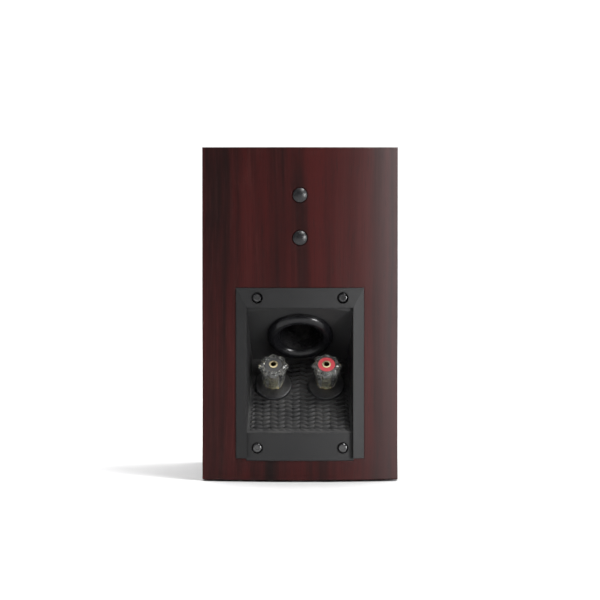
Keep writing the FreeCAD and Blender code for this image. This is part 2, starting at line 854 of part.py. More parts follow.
def woofer_frame_ring():
    """Front flange of the frame, with a step for the roll's outer lip and a counterbore for each screw."""
    f = woofer_flange
    step = surround_outer + trim_width
    frame = turned([(surround_outer, roll_depth), (step, roll_depth), (step, 0), (woofer_flange_radius, 0),
                    (woofer_flange_radius, f), (surround_outer, f)])
    return frame.cut(counterbores(woofer_holes)).cut(shank_holes(woofer_holes))


def woofer_basket():
    """Tapered cage behind the flange, with six windows, the spider's ledge and the motor's seat."""
    top = woofer_hole_radius - basket_gap
    skin = basket_skin
    ledge = spider_depth + spider_wave
    seat_z = ledge + spider_ledge
    seat_r = basket_seat_radius
    eye = coil_radius + basket_eye
    cage = turned([(top - skin, woofer_flange), (top, woofer_flange), (seat_r, seat_z),
                   (seat_r, basket_depth), (eye, basket_depth), (eye, basket_depth - skin),
                   (seat_r - skin, basket_depth - skin),
                   (seat_r - skin, seat_z), (spider_outer - skin, seat_z), (spider_outer - skin, ledge),
                   (seat_r - skin, ledge), (top - skin, woofer_flange + skin / 2)])
    for n in range(basket_windows):
        window = box(seat_r / 2, woofer_flange_radius, -basket_window / 2, basket_window / 2,
                     woofer_flange + basket_rim, ledge - basket_rim)
        window.rotate(V(0, 0, 0), V(0, 0, 1), 360.0 * n / basket_windows)
        cage = cage.cut(window)
    return cage


def woofer_surround():
    """Half roll of rubber between the cone's edge and the frame."""
    low = roll_depth
    t = surround_skin
    middle = (surround_inner + surround_outer) / 2
    r_out = (surround_outer - surround_inner) / 2
    lip = surround_lip
    edges = [
        line((surround_inner - lip, low), (surround_inner, low)),
        arc((surround_inner, low), (middle, low - r_out), (surround_outer, low)),
        line((surround_outer, low), (surround_outer + lip, low)),
        line((surround_outer + lip, low), (surround_outer + lip, low - t)),
        line((surround_outer + lip, low - t), (surround_outer + t * 0.3, low - t)),
        arc((surround_outer + t * 0.3, low - t), (middle, low - r_out - t * 0.9),
            (surround_inner - t * 0.3, low - t)),
        line((surround_inner - t * 0.3, low - t), (surround_inner - lip, low - t)),
        line((surround_inner - lip, low - t), (surround_inner - lip, low)),
    ]
    return turned_wire(edges)


def woofer_cone():
    """Curved paper cone, glued under the roll's inner lip and to the former at its neck."""
    rim = surround_inner - cone_rim_gap
    lip = surround_inner - surround_lip
    neck = coil_radius + former_skin
    s = cone_skin
    low = roll_depth
    edges = [
        line((lip, low), (rim, low)), line((rim, low), (rim, low + s)), line((rim, low + s), (lip, low + s)),
        cone_arc(s), line((neck, cone_neck_depth + s), (neck, cone_neck_depth - s)), cone_arc(0),
    ]
    return turned_wire(edges)


def cone_arc(skin):
    """A face of the cone in profile, from the roll's lip to the neck; skin is 0 on the front face."""
    lip = surround_inner - surround_lip
    neck = coil_radius + former_skin
    top = roll_depth + skin
    low = cone_neck_depth - cone_skin + 2 * skin
    wide = lip - neck
    deep = low - top
    bow = cone_bow / math.hypot(wide, deep)
    return arc((lip, top), ((lip + neck) / 2 + bow * deep, (top + low) / 2 + bow * wide), (neck, low))


def cone_face(radius):
    """Depth of the cone's front face at that radius."""
    curve = cone_arc(0).Curve
    return curve.Center.z + math.sqrt(curve.Radius ** 2 - (radius - curve.Center.x) ** 2)


def woofer_cap():
    """Domed dust cap glued to the cone's face."""
    rim = cone_face(cap_radius)
    return dome_shell(cap_radius, rim, rim - cap_rise, cap_skin)


def woofer_former():
    start = cone_neck_depth - cone_skin
    return ring(coil_radius, coil_radius + former_skin, start, basket_depth + coil_reach)


def woofer_winding():
    inner = coil_radius + former_skin
    end = basket_depth + coil_reach
    return ring(inner, inner + winding_skin, end - coil_length, end)


def woofer_spider():
    """Corrugated cloth disc: a wave in depth between the former and the ledge."""
    inner = coil_radius + former_skin
    start = inner + spider_flat
    end = spider_outer - 2 * spider_flat
    pitch = (end - start) / spider_waves
    high = spider_wave - spider_skin / 5
    front = spider_depth + spider_wave - spider_skin

    def side(level):
        points = [(inner, level), (start, level)]
        for n in range(spider_waves):
            points.append((start + pitch * (n + 0.25), level - high))
            points.append((start + pitch * (n + 0.75), level + high))
        return points + [(end, level), (spider_outer, level)]

    return turned(side(front) + side(front + spider_skin)[::-1])


def woofer_top_plate():
    hole = coil_radius + former_skin + winding_skin + pole_gap
    return ring(hole, magnet_radius - plate_step, basket_depth, basket_depth + top_plate)


def woofer_magnet():
    near = basket_depth + top_plate
    return ring(coil_radius + magnet_gap, magnet_radius, near, near + magnet_length)


def woofer_yoke():
    """Back plate and vented pole in one piece."""
    near = basket_depth + top_plate + magnet_length
    pole = coil_radius - pole_gap
    plate = magnet_radius - plate_step
    tip = basket_depth - pole_rise
    return turned([(pole_vent, tip), (pole, tip), (pole, near), (plate, near), (plate, near + back_plate),
                   (pole_vent, near + back_plate)])


def woofer_terminal():
    """Connector strip on the frame's side, with two blades."""
    low = basket_seat_radius
    face = low + terminal_thickness
    end = basket_depth - basket_skin
    strip = box(-terminal_width / 2, terminal_width / 2, low, face, end - terminal_height, end)
    blades = []
    for side in (-1, 1):
        x = side * blade_spacing / 2
        blades.append(box(x - blade_width / 2, x + blade_width / 2, face, face + blade_thickness,
                          end - terminal_height, end - terminal_height + blade_length))
    return group([strip] + blades)


def woofer_parts():
    gasket = ring(woofer_hole_radius + panel_gap, woofer_flange_radius, woofer_flange,
                  woofer_flange + gasket_thickness).cut(shank_holes(woofer_holes))
    trim_low = roll_depth - surround_skin
    trim = ring(surround_outer + trim_inset, surround_outer + trim_width - running_gap,
                trim_low - trim_height, trim_low)
    return {
        "woofer_frame_ring": woofer_frame_ring(), "woofer_basket": woofer_basket(),
        "woofer_gasket": gasket, "woofer_trim_ring": trim,
        "woofer_surround": woofer_surround(), "woofer_cone": woofer_cone(), "woofer_dust_cap": woofer_cap(),
        "woofer_coil_former": woofer_former(), "woofer_winding": woofer_winding(),
        "woofer_spider": woofer_spider(), "woofer_top_plate": woofer_top_plate(),
        "woofer_magnet": woofer_magnet(), "woofer_yoke": woofer_yoke(),
        "woofer_terminal": woofer_terminal(),
    }


# ---- tweeter, built like the woofer
def tweeter_faceplate():
    """Round plate whose middle dips towards the dome."""
    r = dome_radius + dome_roll + faceplate_gap
    flare = r + flare_width
    low = dome_seat - faceplate_gap
    hollow = (r + flare_width * 0.43, low * 0.31)
    edges = [
        line((faceplate_radius, 0), (faceplate_radius, faceplate)),
        line((faceplate_radius, faceplate), (r, faceplate)), line((r, faceplate), (r, low)),
        arc((r, low), hollow, (flare, 0)), line((flare, 0), (faceplate_radius, 0)),
    ]
    return turned_wire(edges).cut(counterbores(tweeter_holes)).cut(shank_holes(tweeter_holes))


def tweeter_dome():
    return dome_shell(dome_radius, dome_seat, dome_seat - dome_height, dome_skin)


def tweeter_surround():
    """Narrow half roll round the dome, clamped under the faceplate's hole."""
    r0 = dome_radius
    r1 = dome_radius + dome_roll
    seat = dome_seat
    t = dome_skin
    middle = (r0 + r1) / 2
    crest = seat - dome_roll_rise
    hem = faceplate
    edges = [
        arc((r0, seat), (middle, crest), (r1, seat)), line((r1, seat), (r1, hem)),
        line((r1, hem), (r1 - t, hem)), line((r1 - t, hem), (r1 - t, seat + t)),
        arc((r1 - t, seat + t), (middle, crest + t), (r0, seat + t)), line((r0, seat + t), (r0, seat)),
    ]
    return turned_wire(edges)


def tweeter_motor():
    """Spacer, top plate, and back plate with its pole."""
    coil_outer = dome_radius - tweeter_coil_step
    coil_inner = coil_outer - tweeter_coil_skin
    plate = faceplate + tweeter_spacer
    near = tweeter_motor_depth - tweeter_back_plate
    pole = coil_inner - tweeter_coil_gap
    disc = tweeter_motor_radius - 1
    spacer = ring(dome_radius + dome_roll - dome_skin, tweeter_motor_radius, faceplate, plate)
    top = ring(coil_outer + tweeter_coil_gap, tweeter_motor_radius, plate, plate + tweeter_top_plate)
    yoke = turned([(0, plate), (pole, plate), (pole, near), (disc, near), (disc, tweeter_motor_depth),
                   (0, tweeter_motor_depth)])
    return group([spacer, top, yoke])


def tweeter_cup():
    r = tweeter_magnet_radius
    inner = r - tweeter_cup_wall
    floor = tweeter_cup_depth - tweeter_cup_wall
    return turned([(0, tweeter_cup_depth), (r, tweeter_cup_depth), (r, tweeter_motor_depth),
                   (inner, tweeter_motor_depth), (inner, floor), (0, floor)])


def tweeter_blades():
    blades = []
    for side in (-1, 1):
        x = side * tweeter_blade_spacing / 2
        blades.append(box(x - tweeter_blade_width / 2, x + tweeter_blade_width / 2, -blade_thickness / 2,
                          blade_thickness / 2, tweeter_cup_depth, tweeter_cup_depth + tweeter_blade_length))
    return group(blades)


def tweeter_parts():
    plate = faceplate + tweeter_spacer + tweeter_top_plate
    coil_outer = dome_radius - tweeter_coil_step
    coil = ring(coil_outer - tweeter_coil_skin, coil_outer, dome_seat, plate + tweeter_coil_reach)
    magnet = ring(dome_radius + tweeter_top_plate, tweeter_magnet_radius, plate,
                  tweeter_motor_depth - tweeter_back_plate)
    return {
        "tweeter_faceplate": tweeter_faceplate(), "tweeter_dome": tweeter_dome(),
        "tweeter_surround": tweeter_surround(), "tweeter_voice_coil": coil, "tweeter_magnet": magnet,
        "tweeter_motor": tweeter_motor(), "tweeter_rear_cup": tweeter_cup(),
        "tweeter_terminals": tweeter_blades(),
    }


def driver_screws():
    """The screws of both drivers."""
    return group([placed(socket_screw(small_head_radius, screw_length), at, V(0, -1, 0))
                  for at in driver_screw_places()])


# ---- crossover
board_y = (y_front + brace_setback + brace_thickness + y_inside_back - board_length) / 2
board_z = z_base + wall + standoff
board_top = board_z + board_thickness


def on_board(x, y, lift=0.0):
    """A point on the board's face, x across from its middle and y along from its front edge."""
    return V(x, board_y + y, board_top + lift)


def crossover_board():
    """Board on four spacers, each with its screw."""
    board = box(-board_width / 2, board_width / 2, board_y, board_y + board_length, board_z, board_top)
    foot_z = V(0, 0, z_base + wall)
    tall = board_thickness + standoff
    solids = []
    for x in (board_inset - board_width / 2, board_width / 2 - board_inset):
        for y in (board_inset, board_length - board_inset):
            at = V(x, board_y + y, 0) + foot_z
            screw = cylinder(board_screw_radius, tall, at, V(0, 0, 1))
            board = board.cut(screw)
            solids.append(cylinder(spacer_radius, standoff, at, V(0, 0, 1)).cut(screw))
            head = cylinder(board_head_radius, board_head_height, on_board(x, y), V(0, 0, 1))
            solids.append(screw.fuse(head).removeSplitter())
    return group([board] + solids)


def crossover_coils():
    """Two air-core inductors, the larger lying flat and the smaller on its edge."""
    large = placed(ring(large_coil[0], large_coil[1], 0, large_coil[2]), on_board(-22, 19), V(0, 0, 1))
    small = placed(ring(small_coil[0], small_coil[1], 0, small_coil[2]), on_board(9, 14, small_coil[1]),
                   V(1, 0, 0))
    return group([large, small])


def crossover_capacitors():
    """Three film capacitors lying across the board; each row is radius, length, and place on the board."""
    cans = [(7.0, 28.0, -34.0, 45.0), (5.5, 24.0, 3.0, 30.0), (4.5, 20.0, 12.0, 52.0)]
    return group([cylinder(r, length, on_board(x, y, r), V(1, 0, 0)) for r, length, x, y in cans])


def crossover_resistors():
    """Two ceramic blocks, one across the board and one along it."""
    side = resistor_side
    across_board = Part.makeBox(resistor_length, side, side, on_board(14, 38))
    along_board = Part.makeBox(side, resistor_length, side, on_board(24, 4))
    return group([across_board, along_board])


def foam_panels():
    """Damping foam on the side walls."""
    half = width / 2 - wall - foam_gap
    y0 = y_front + brace_setback + brace_thickness + foam_setback
    y1 = y_inside_back - foam_setback
    low = z_base + wall + foam_lift
    high = z_top - wall - foam_gap
    sides = [box(half - foam_thickness, half, y0, y1, low, high),
             box(-half, -half + foam_thickness, y0, y1, low, high)]
    return group(sides)


def lead_routes():
    """Routes of the insulated leads: posts to board, woofer to board, tweeter to board."""
    behind = panel_wall + washer_height + nut_height + tag_thickness / 2
    board_end = board_y + board_length
    woofer_y = y_front + basket_depth - basket_skin - terminal_height + blade_length
    woofer_z = up(woofer_height) - basket_seat_radius - terminal_thickness - blade_thickness / 2
    tweeter_y = y_front + tweeter_cup_depth + tweeter_blade_length
    tweeter_z = up(tweeter_height)
    routes = []
    for side in (-1, 1):
        down = V(0, post_axis.z, -post_axis.y)
        start = post_foot(side) - post_axis * behind + down * (tag_length + foam_gap)
        routes.append([start, start + down * 9, start + V(side * 4, -14, -20),
                       V(side * 31, board_end - 8, board_top + 13), V(side * 31, board_end - 8, board_top)])
        routes.append([V(side * 7, woofer_y, woofer_z), V(side * 7, woofer_y + 20, woofer_z),
                       V(side * 5, board_y - 17, woofer_z - 1.5), V(side * 3, board_y + 4, board_top + 10),
                       V(side * 3, board_y + 4, board_top)])
        routes.append([V(side * 9, tweeter_y, tweeter_z), V(side * 9, tweeter_y + 23, tweeter_z),
                       V(side * 12, board_y - 9, tweeter_z - 20), V(side * 16, board_y - 6, tweeter_z - 67),
                       V(side * 21, board_y - 7, board_top + 50), V(side * 22, board_y + 2, board_top + 17),
                       V(side * 22, board_y + 2, board_top)])
    return routes


def leads():
    return group([tube(route, lead_radius) for route in lead_routes()])


def build():
    parts = {"back_panel": back_panel(), "front_baffle": front_baffle(), "brace": brace(), "feet": feet()}
    parts.update(sleeve())
    parts["grille_sockets"] = grille_sockets()
    parts["terminal_panel"] = terminal_panel()
    parts["terminal_gasket"] = terminal_gasket()
    parts["terminal_screws"] = terminal_screws()
    parts["port_flare"] = port_flare()
    parts["port_tube"] = port_tube()
    for colour, side in (("red", -1), ("black", 1)):
        for name, shape in binding_post(side).items():
            parts[colour + "_" + name] = shape
    parts["bracket_inserts"] = bracket_inserts()
    upper, lower = insert_places()
    parts["insert_plug_upper"] = insert_plug(upper)
    parts["insert_plug_lower"] = insert_plug(lower)
    for name, shape in woofer_parts().items():
        parts[name] = on_front(shape, woofer_height)
    for name, shape in tweeter_parts().items():
        parts[name] = on_front(shape, tweeter_height)
    parts["driver_screws"] = driver_screws()
    parts["crossover_board"] = crossover_board()
    parts["crossover_coils"] = crossover_coils()
    parts["crossover_capacitors"] = crossover_capacitors()
    parts["crossover_resistors"] = crossover_resistors()
    parts["foam_panels"] = foam_panels()
    parts["leads"] = leads()
    return parts


os.makedirs("parts", exist_ok=True)
for node, shape in build().items():
    shape.exportStep("parts/" + node + ".step")
    print(node, "valid" if shape.isValid() else "INVALID", len(shape.Solids), round(shape.Volume))
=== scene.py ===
import json
import math
import bpy
import numpy as np
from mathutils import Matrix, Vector


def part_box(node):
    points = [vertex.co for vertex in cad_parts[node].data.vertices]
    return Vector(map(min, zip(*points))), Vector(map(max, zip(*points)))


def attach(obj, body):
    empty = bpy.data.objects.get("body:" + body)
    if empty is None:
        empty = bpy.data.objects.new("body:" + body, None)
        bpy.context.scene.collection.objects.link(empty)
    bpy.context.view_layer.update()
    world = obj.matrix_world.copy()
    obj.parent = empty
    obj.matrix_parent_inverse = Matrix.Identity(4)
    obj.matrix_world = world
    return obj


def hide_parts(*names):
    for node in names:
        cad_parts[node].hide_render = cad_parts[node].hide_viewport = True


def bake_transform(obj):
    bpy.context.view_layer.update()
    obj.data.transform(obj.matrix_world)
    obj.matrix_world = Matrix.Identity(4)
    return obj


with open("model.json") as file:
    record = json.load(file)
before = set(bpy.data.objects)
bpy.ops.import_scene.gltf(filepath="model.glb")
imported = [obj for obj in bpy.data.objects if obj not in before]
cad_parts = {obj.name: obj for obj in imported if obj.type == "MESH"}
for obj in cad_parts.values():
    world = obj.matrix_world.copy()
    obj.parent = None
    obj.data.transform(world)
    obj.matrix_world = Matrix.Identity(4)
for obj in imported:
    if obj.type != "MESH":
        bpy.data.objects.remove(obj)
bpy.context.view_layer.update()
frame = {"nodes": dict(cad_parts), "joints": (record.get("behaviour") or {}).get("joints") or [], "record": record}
nodes = frame["nodes"]
joints = {joint["name"]: joint for joint in frame["joints"]}
print("frame loaded,", len(nodes), "nodes")

mm = 0.001
micron = 0.000001


def cornersOf(node):
    low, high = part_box(node)
    return np.array(low), np.array(high)


def pointsOf(node):
    mesh = nodes[node].data
    flat = np.empty(len(mesh.vertices) * 3)
    mesh.vertices.foreach_get("co", flat)
    return flat.reshape(-1, 3)


def alongAxis(node, origin, axis):
    # height along an axis and distance from it, for every point of a node
    step = pointsOf(node) - origin
    height = step @ axis
    radius = np.linalg.norm(step - height[:, None] * axis, axis=1)
    return height, radius


def sideways(axis):
    # two unit directions across an axis, the first one level
    level = np.array([1.0, 0.0, 0.0])
    return level, np.cross(axis, level)


def gridFaces(rows, columns, closeRows, closeColumns):
    # the four corners of each cell of a grid of rows by columns, wrapped round where it closes
    row = np.arange(rows if closeRows else rows - 1)[:, None]
    column = np.arange(columns if closeColumns else columns - 1)[None, :]
    nextRow = (row + 1) % rows
    nextColumn = (column + 1) % columns
    cells = [row * columns + column, row * columns + nextColumn,
             nextRow * columns + nextColumn, nextRow * columns + column]
    return np.stack(cells, axis=-1).reshape(-1, 4)


def addSurface(name, points, body, slotName, closeRows=False, closeColumns=False, flip=False):
    # points is rows by columns by 3; the cells become four-sided faces, shaded smooth
    rows, columns = points.shape[:2]
    faces = gridFaces(rows, columns, closeRows, closeColumns)
    if flip:
        faces = faces[:, ::-1]
    mesh = bpy.data.meshes.new(name)
    mesh.from_pydata(points.reshape(-1, 3).tolist(), [], faces.tolist())
    mesh.polygons.foreach_set("use_smooth", np.ones(len(faces), bool))
    mesh.update()
    piece = bpy.data.objects.new(name, mesh)
    bpy.context.scene.collection.objects.link(piece)
    piece.data.materials.append(materials[slotName])
    if body:
        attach(piece, body)
    return piece


def turnedSurface(name, radii, heights, origin, axis, body, slotName, steps, flip=False):
    # a profile carried round an axis: radii and heights are arrays of profile by steps, or of profile alone
    level, across = sideways(axis)
    angle = np.linspace(0, 2 * math.pi, steps, endpoint=False)
    radii = np.broadcast_to(radii if radii.ndim == 2 else radii[:, None], (len(radii), steps))
    heights = np.broadcast_to(heights if heights.ndim == 2 else heights[:, None], (len(heights), steps))
    ray = np.cos(angle)[:, None] * level + np.sin(angle)[:, None] * across
    points = origin + radii[:, :, None] * ray[None, :, :] + heights[:, :, None] * axis
    return addSurface(name, points, body, slotName, closeRows=True, closeColumns=True, flip=flip)


def roundedPath(corners, softness, count):
    # a closed run through corners, each rounded by a parabola of count points; softness is how far the
    # rounding reaches from the corner, and it stops short of the middle of an edge
    mostOfEdge = 0.45
    corners = np.array(corners, float)
    before = np.roll(corners, 1, axis=0)
    after = np.roll(corners, -1, axis=0)
    soft = np.array(softness, float)[:, None]
    toBefore = before - corners
    toAfter = after - corners
    reachBefore = np.minimum(soft, mostOfEdge * np.linalg.norm(toBefore, axis=1, keepdims=True))
    reachAfter = np.minimum(soft, mostOfEdge * np.linalg.norm(toAfter, axis=1, keepdims=True))
    start = corners + toBefore / np.linalg.norm(toBefore, axis=1, keepdims=True) * reachBefore
    end = corners + toAfter / np.linalg.norm(toAfter, axis=1, keepdims=True) * reachAfter
    t = np.linspace(0, 1, count)[None, :, None]
    curve = (1 - t) ** 2 * start[:, None] + 2 * t * (1 - t) * corners[:, None] + t ** 2 * end[:, None]
    return curve.reshape(-1, 2)


def newGroup(name, inputs, outputs):
    group = bpy.data.node_groups.new(name, "ShaderNodeTree")
    for label, kind, default in inputs:
        socket = group.interface.new_socket(name=label, in_out="INPUT", socket_type="NodeSocket" + kind)
        if default is not None:
            socket.default_value = default
    for label, kind in outputs:
        group.interface.new_socket(name=label, in_out="OUTPUT", socket_type="NodeSocket" + kind)
    return group, group.nodes.new("NodeGroupInput"), group.nodes.new("NodeGroupOutput")


def math2(tree, operation, first, second=None, third=None, clamp=False):
    node = tree.nodes.new("ShaderNodeMath")
    node.operation = operation
    node.use_clamp = clamp
    for index, value in enumerate((first, second, third)):
        if value is None:
            continue
        if isinstance(value, (int, float)):
            node.inputs[index].default_value = value
        else:
            tree.links.new(value, node.inputs[index])
    return node.outputs[0]


def mixColor(tree, factor, first, second):
    node = tree.nodes.new("ShaderNodeMix")
    node.data_type = "RGBA"
    for socket, value in ((node.inputs[0], factor), (node.inputs[6], first), (node.inputs[7], second)):
        if isinstance(value, (int, float)):
            socket.default_value = value
        elif isinstance(value, tuple):
            socket.default_value = value + (1.0,)
        else:
            tree.links.new(value, socket)
    return node.outputs[2]


def noise(tree, vector, scale, detail=4.0, rough=0.55):
    node = tree.nodes.new("ShaderNodeTexNoise")
    node.inputs["Detail"].default_value = detail
    node.inputs["Roughness"].default_value = rough
    tree.links.new(vector, node.inputs["Vector"])
    if isinstance(scale, (int, float)):
        node.inputs["Scale"].default_value = scale
    else:
        tree.links.new(scale, node.inputs["Scale"])
    return node.outputs["Fac"]


def stretched(tree, vector, scale, turn=(0.0, 0.0, 0.0)):
    node = tree.nodes.new("ShaderNodeMapping")
    node.vector_type = "POINT"
    node.inputs["Scale"].default_value = scale
    node.inputs["Rotation"].default_value = turn
    tree.links.new(vector, node.inputs["Vector"])
    return node.outputs["Vector"]


def remap(tree, value, low, high, newLow=0.0, newHigh=1.0):
    node = tree.nodes.new("ShaderNodeMapRange")
    node.interpolation_type = "SMOOTHSTEP"
    tree.links.new(value, node.inputs[0])
    for index, number in enumerate((low, high, newLow, newHigh)):
        node.inputs[index + 1].default_value = number
    return node.outputs[0]


def place(tree):
    return tree.nodes.new("ShaderNodeTexCoord").outputs["Object"]


def dustGroup():
    # pale dust where the surface faces up, broken by cloudy noise
    group, start, end = newGroup("settledDust", [
        ("Color", "Color", (0.1, 0.1, 0.1, 1.0)), ("Roughness", "Float", 0.5), ("Amount", "Float", 0.1),
    ], [("Color", "Color"), ("Roughness", "Float")])
    geometry = group.nodes.new("ShaderNodeNewGeometry")
    spot = place(group)
    parts = group.nodes.new("ShaderNodeSeparateXYZ")
    group.links.new(geometry.outputs["Normal"], parts.inputs[0])
    upward = remap(group, parts.outputs["Z"], 0.25, 1.0)
    clouds = remap(group, noise(group, spot, 60.0, 6.0, 0.65), 0.35, 0.75)
    specks = remap(group, noise(group, spot, 2600.0, 2.0, 0.5), 0.62, 0.72)
    cover = math2(group, "MULTIPLY", upward, math2(group, "MULTIPLY_ADD", specks, 0.6, clouds))
    cover = math2(group, "MULTIPLY", cover, start.outputs["Amount"], clamp=True)
    color = mixColor(group, cover, start.outputs["Color"], (0.42, 0.40, 0.37))
    group.links.new(color, end.inputs["Color"])
    rough = math2(group, "MULTIPLY_ADD", cover, 0.35, start.outputs["Roughness"], clamp=True)
    group.links.new(rough, end.inputs["Roughness"])
    return group


def mouldedGroup():
    # spark-eroded plastic: a fine even pebble, with slow changes in tone and gloss
    group, start, end = newGroup("mouldedPlastic", [
        ("Color", "Color", (0.03, 0.03, 0.03, 1.0)), ("Roughness", "Float", 0.5),
        ("Grain per metre", "Float", 2400.0), ("Tone change", "Float", 0.12),
    ], [("Color", "Color"), ("Roughness", "Float"), ("Height", "Float")])
    spot = place(group)
    pebble = noise(group, spot, start.outputs["Grain per metre"], 2.0, 0.5)
    slow = noise(group, spot, 38.0, 3.0, 0.6)
    flow = noise(group, stretched(group, spot, (1.0, 1.0, 0.25)), 210.0, 2.0, 0.5)
    change = math2(group, "SUBTRACT", math2(group, "ADD", slow, math2(group, "MULTIPLY", flow, 0.35)), 0.675)
    tone = math2(group, "MULTIPLY_ADD", change, start.outputs["Tone change"], 1.0)
    uneven = math2(group, "SUBTRACT", pebble, 0.5)
    tone = math2(group, "MULTIPLY_ADD", uneven, 0.25, tone)
    scale = group.nodes.new("ShaderNodeVectorMath")
    scale.operation = "SCALE"
    group.links.new(start.outputs["Color"], scale.inputs[0])
    group.links.new(tone, scale.inputs["Scale"])
    group.links.new(scale.outputs[0], end.inputs["Color"])
    rough = math2(group, "MULTIPLY_ADD", uneven, 0.30, start.outputs["Roughness"])
    rough = math2(group, "MULTIPLY_ADD", change, 0.10, rough, clamp=True)
    group.links.new(rough, end.inputs["Roughness"])
    group.links.new(pebble, end.inputs["Height"])
    return group


def veneerGroup():
    # rosewood: long wandering bands of dark heartwood in red-brown, thin lines within them, and short pores
    group, start, end = newGroup("rosewoodVeneer", [
        ("Vector", "Vector", None), ("Dark", "Color", (0.02, 0.007, 0.006, 1.0)),
        ("Red", "Color", (0.05, 0.014, 0.012, 1.0)), ("Pale", "Color", (0.12, 0.045, 0.03, 1.0)),
        ("Band width", "Float", 85.0), ("Roughness", "Float", 0.35),
    ], [("Color", "Color"), ("Roughness", "Float"), ("Height", "Float")])
    vector = start.outputs["Vector"]
    drift = noise(group, stretched(group, vector, (5.0, 5.0, 3.2)), 1.0, 3.0, 0.5)
    push = group.nodes.new("ShaderNodeCombineXYZ")
    amount = math2(group, "MULTIPLY", math2(group, "SUBTRACT", drift, 0.5), 0.035)
    group.links.new(amount, push.inputs[0])
    group.links.new(amount, push.inputs[1])
    moved = group.nodes.new("ShaderNodeVectorMath")
    moved.operation = "ADD"
    group.links.new(vector, moved.inputs[0])
    group.links.new(push.outputs[0], moved.inputs[1])
    wander = moved.outputs[0]
    broad = noise(group, stretched(group, wander, (1.0, 1.0, 0.025)), start.outputs["Band width"], 3.0, 0.55)
    lines = noise(group, stretched(group, wander, (1.0, 1.0, 0.012)), 620.0, 4.0, 0.7)
    glow = noise(group, stretched(group, wander, (1.0, 1.0, 0.12)), 30.0, 2.0, 0.5)
    pores = noise(group, stretched(group, wander, (1.0, 1.0, 0.03)), 2300.0, 1.0, 0.4)
    figure = mixColor(group, remap(group, broad, 0.32, 0.66), start.outputs["Dark"], start.outputs["Red"])
    lift = math2(group, "MULTIPLY", remap(group, lines, 0.45, 0.72), remap(group, glow, 0.35, 0.7, 0.15, 1.0))
    figure = mixColor(group, math2(group, "MULTIPLY", lift, 0.30), figure, start.outputs["Pale"])
    streak = remap(group, lines, 0.30, 0.42, 0.35, 0.0)
    figure = mixColor(group, streak, figure, start.outputs["Dark"])
    pit = remap(group, pores, 0.30, 0.40, 0.45, 0.0)
    figure = mixColor(group, pit, figure, (0.006, 0.003, 0.003))
    group.links.new(figure, end.inputs["Color"])
    rough = math2(group, "MULTIPLY_ADD", pit, 0.18, start.outputs["Roughness"])
    rough = math2(group, "MULTIPLY_ADD", math2(group, "SUBTRACT", glow, 0.5), 0.12, rough, clamp=True)
    group.links.new(rough, end.inputs["Roughness"])
    height = math2(group, "SUBTRACT", math2(group, "MULTIPLY", lines, 0.25), pit)
    group.links.new(height, end.inputs["Height"])
    return group


def metalGroup():
    # plated or turned metal: fine rings or lines along one direction, and faint staining
    group, start, end = newGroup("workedMetal", [
        ("Color", "Color", (0.7, 0.7, 0.7, 1.0)), ("Roughness", "Float", 0.25),
        ("Lines", "Vector", (1.0, 1.0, 1.0)), ("Stain", "Float", 0.2),
    ], [("Color", "Color"), ("Roughness", "Float"), ("Height", "Float")])
    spot = place(group)
    spread = group.nodes.new("ShaderNodeVectorMath")
    spread.operation = "MULTIPLY"
    group.links.new(spot, spread.inputs[0])
    group.links.new(start.outputs["Lines"], spread.inputs[1])
    lines = noise(group, spread.outputs[0], 1.0, 3.0, 0.6)
    stain = remap(group, noise(group, spot, 260.0, 5.0, 0.6), 0.45, 0.75)
    stain = math2(group, "MULTIPLY", stain, start.outputs["Stain"])
    group.links.new(mixColor(group, stain, start.outputs["Color"], (0.16, 0.11, 0.07)), end.inputs["Color"])
    uneven = math2(group, "SUBTRACT", lines, 0.5)
    rough = math2(group, "MULTIPLY_ADD", uneven, 0.35, start.outputs["Roughness"])
    rough = math2(group, "MULTIPLY_ADD", stain, 0.3, rough, clamp=True)
    group.links.new(rough, end.inputs["Roughness"])
    group.links.new(lines, end.inputs["Height"])
    return group


def weaveGroup():
    # plain weave seen straight on: two crossed sets of rounded threads that pass over and under in turn, with
    # painted shade darkening each thread towards its edges and into the gaps between threads
    group, start, end = newGroup("plainWeave", [
        ("Vector", "Vector", None), ("Color", "Color", (0.05, 0.05, 0.05, 1.0)),
        ("Painted thread shade", "Color", (0.01, 0.01, 0.01, 1.0)), ("Threads per metre", "Float", 2000.0),
        ("Roughness", "Float", 0.7),
    ], [("Color", "Color"), ("Roughness", "Float"), ("Height", "Float")])
    scale = group.nodes.new("ShaderNodeVectorMath")
    scale.operation = "SCALE"
    group.links.new(start.outputs["Vector"], scale.inputs[0])
    halfTurns = math2(group, "MULTIPLY", start.outputs["Threads per metre"], math.pi)
    group.links.new(halfTurns, scale.inputs["Scale"])
    parts = group.nodes.new("ShaderNodeSeparateXYZ")
    group.links.new(scale.outputs[0], parts.inputs[0])
    waveX = math2(group, "SINE", parts.outputs["X"])
    waveZ = math2(group, "SINE", parts.outputs["Z"])
    over = math2(group, "MULTIPLY", waveX, waveZ)
    threadX = math2(group, "ABSOLUTE", waveX)
    threadZ = math2(group, "ABSOLUTE", waveZ)
    side = math2(group, "GREATER_THAN", over, 0.0)
    height = group.nodes.new("ShaderNodeMix")
    height.data_type = "FLOAT"
    group.links.new(side, height.inputs[0])
    group.links.new(threadX, height.inputs[2])
    group.links.new(threadZ, height.inputs[3])
    # painted shade: the colour goes from the thread colour on a thread's crown to the dark shade colour at its
    # edges and in the gaps
    shade = remap(group, height.outputs[0], 0.15, 0.8)
    fuzz = noise(group, start.outputs["Vector"], 900.0, 4.0, 0.7)
    color = mixColor(group, shade, start.outputs["Painted thread shade"], start.outputs["Color"])
    color = mixColor(group, math2(group, "MULTIPLY", fuzz, 0.35), color, start.outputs["Painted thread shade"])
    group.links.new(color, end.inputs["Color"])
    uneven = math2(group, "SUBTRACT", fuzz, 0.5)
    rough = math2(group, "MULTIPLY_ADD", uneven, 0.2, start.outputs["Roughness"], clamp=True)
    group.links.new(rough, end.inputs["Roughness"])
    group.links.new(height.outputs[0], end.inputs["Height"])
    return group


